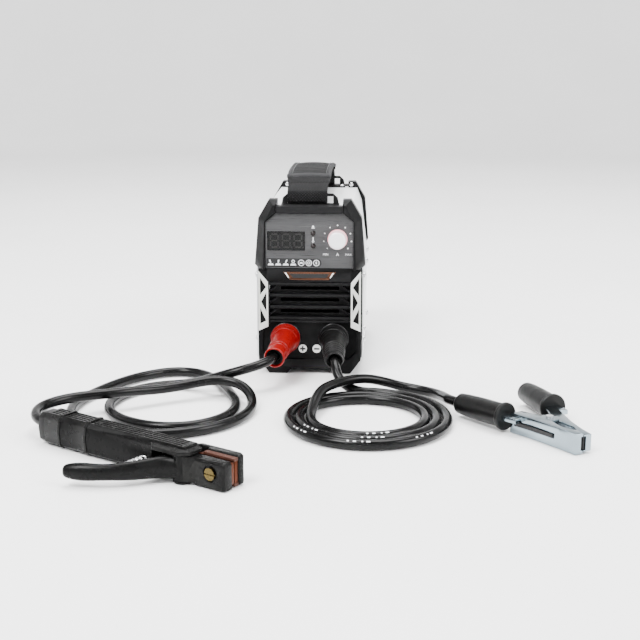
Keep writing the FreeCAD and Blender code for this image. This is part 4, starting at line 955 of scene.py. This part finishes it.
def make_clamp_painted_shade():
    """Painted shade in the clamp's slots and channel: black slabs that stand for the shaded inside of each
    folded arm.
    """
    for name, body, pieces in (
        ("clamp_painted_shade_fixed", "case",
         [(CHANNEL, CHANNEL_LOW, CHANNEL_HIGH), (SLOT_FLOOR[0], SLOT_LOW, SLOT_HIGH)]),
        ("clamp_painted_shade_moving", "clamp_arm", [(SLOT_FLOOR[1], SLOT_LOW, SLOT_HIGH)]),
    ):
        work = bmesh.new()
        for outline, low, high in pieces:
            rings = [[CLAMP @ Vector((x, y, z)) * MM for x, y in outline] for z in (low, high)]
            loft(work, rings)
        # The black here is painted shade.
        from_bmesh(name, work, "black_rubber", body, PRINT_AND_SHADE_BLACK)


make_clamp_painted_shade()
marks = make_sheath_marks("ground_sheath_marks", ground_route())
make_cable("ground_lead", ground_route(), "ground_cable")
make_cable("electrode_lead", electrode_route(), "electrode_cable")


# -------------------------------------------------------- holder and clamp

# The lever's head in the holder's frame, in millimetres: the x of its front and its rear, and its top.
HEAD_FRONT, HEAD_REAR, HEAD_TOP = 189.0, 170.0, 21.4
HEAD_ROUNDING = 2.6


def round_head(work):
    """Rounds the front and the top of the lever's head, as its moulding is."""
    to_holder = HOLDER.inverted()
    chosen = []
    for edge in work.edges:
        a, b = (to_holder @ (v.co / MM) for v in edge.verts)
        middle = (a + b) / 2
        upright = middle.x > HEAD_FRONT and abs((a - b).z) > 10 and middle.y < 0
        top = middle.z > HEAD_TOP and middle.y < 0 and middle.x > HEAD_REAR and (a - b).length > 15
        front_top = middle.z > HEAD_TOP and middle.x > HEAD_FRONT
        if upright or top or front_top:
            chosen.append(edge)
    bmesh.ops.bevel(work, geom=chosen, offset=HEAD_ROUNDING * MM, offset_type="OFFSET", segments=5,
                    profile=0.5, affect="EDGES", clamp_overlap=True)


refined("holder_handle", 0.45)
refined("holder_end_cap", 0.8, 3)
refined("holder_head_cover", 2.0, 4)
refined("holder_lever", 0.6, 3, before=round_head)
refined("holder_fixed_jaw", 0.4)
refined("holder_lever_jaw", 0.4)
refined("holder_insulators", 0.3)
refined("clamp_arm_fixed", 0.6, 3)
refined("clamp_arm_moving", 0.6, 3)


def make_lever_spring():
    """The lever's coil spring, copied from the CAD part into a mesh of its own."""
    mesh = NODES["holder_spring"].data.copy()
    mesh.name = "holder_spring_wire"
    spring = new_object("holder_spring_wire", mesh, "bright_steel")
    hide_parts("holder_spring")
    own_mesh(spring)


make_lever_spring()


# ------------------------------------------------------- floor, light, camera

# The floor in metres: its outer radius, the bend up into the wall, and the wall's height.
FLOOR_RADIUS, FLOOR_BEND, WALL_HEIGHT, FLOOR_TURNS = 3.4, 1.0, 3.4, 96
# Just under the object, so that the two faces don't fight.
FLOOR_Z = -0.0006
AMBIENT = 0.3
LIGHT_AIM = Vector((0, -0.15, 0.08))
# Each soft light's place in metres, its power in watts and its side in metres.
LIGHTS = (
    ("key", (-0.9, -1.2, 1.9), 105, 1.0),
    ("fill", (1.7, -0.8, 1.3), 52, 1.0),
    ("top", (0.1, 0.3, 2.2), 120, 1.6),
)


def make_floor():
    """A pale round floor that curves up into a wall."""
    flat = FLOOR_RADIUS - FLOOR_BEND
    bend = [math.radians(a) for a in range(0, 91, 6)]
    profile = [(flat + FLOOR_BEND * math.sin(a), FLOOR_BEND - FLOOR_BEND * math.cos(a)) for a in bend]
    profile.append((FLOOR_RADIUS, WALL_HEIGHT))
    work = bmesh.new()
    rows = [[work.verts.new((r * c, r * s, z)) for c, s in circle(FLOOR_TURNS)] for r, z in profile]
    work.faces.new(rows[0])
    for inner, outer in zip(rows, rows[1:]):
        for k in range(FLOOR_TURNS):
            after = (k + 1) % FLOOR_TURNS
            work.faces.new((inner[k], outer[k], outer[after], inner[after])).smooth = True
    floor_mesh = bpy.data.meshes.new("floor")
    work.to_mesh(floor_mesh)
    work.free()
    floor = bpy.data.objects.new("floor", floor_mesh)
    floor.location = (0, 0, FLOOR_Z)
    bpy.context.scene.collection.objects.link(floor)
    surface = Surface("pale_floor", rough=0.6)
    surface.colour(surface.ramp(surface.noise(3.0), grey(0.90), grey(0.93)))
    floor_mesh.materials.append(surface.mat)


def make_lights():
    """A dim white world and large soft lights."""
    world = bpy.data.worlds.new("studio")
    world.use_nodes = True
    background = world.node_tree.nodes["Background"]
    background.inputs["Color"].default_value = (1, 1, 1, 1)
    background.inputs["Strength"].default_value = AMBIENT
    bpy.context.scene.world = world
    for name, place, energy, size in LIGHTS:
        lamp = bpy.data.lights.new(name, "AREA")
        lamp.energy = energy
        lamp.size = size
        light = bpy.data.objects.new(name, lamp)
        light.location = place
        light.rotation_euler = (LIGHT_AIM - Vector(place)).to_track_quat("-Z", "Y").to_euler()
        bpy.context.scene.collection.objects.link(light)


def make_camera():
    """The photograph's view, with everything in focus."""
    lens = bpy.data.cameras.new("camera")
    lens.lens = 66.375
    lens.sensor_width = 36.0
    lens.clip_end = 30.0
    camera = bpy.data.objects.new("camera", lens)
    camera.location = (0.07424, -1.23508, 0.31858)
    camera.rotation_euler = Euler((math.radians(76.97), 0, math.radians(3.21)))
    bpy.context.scene.collection.objects.link(camera)
    bpy.context.scene.camera = camera


make_floor()
make_lights()
make_camera()
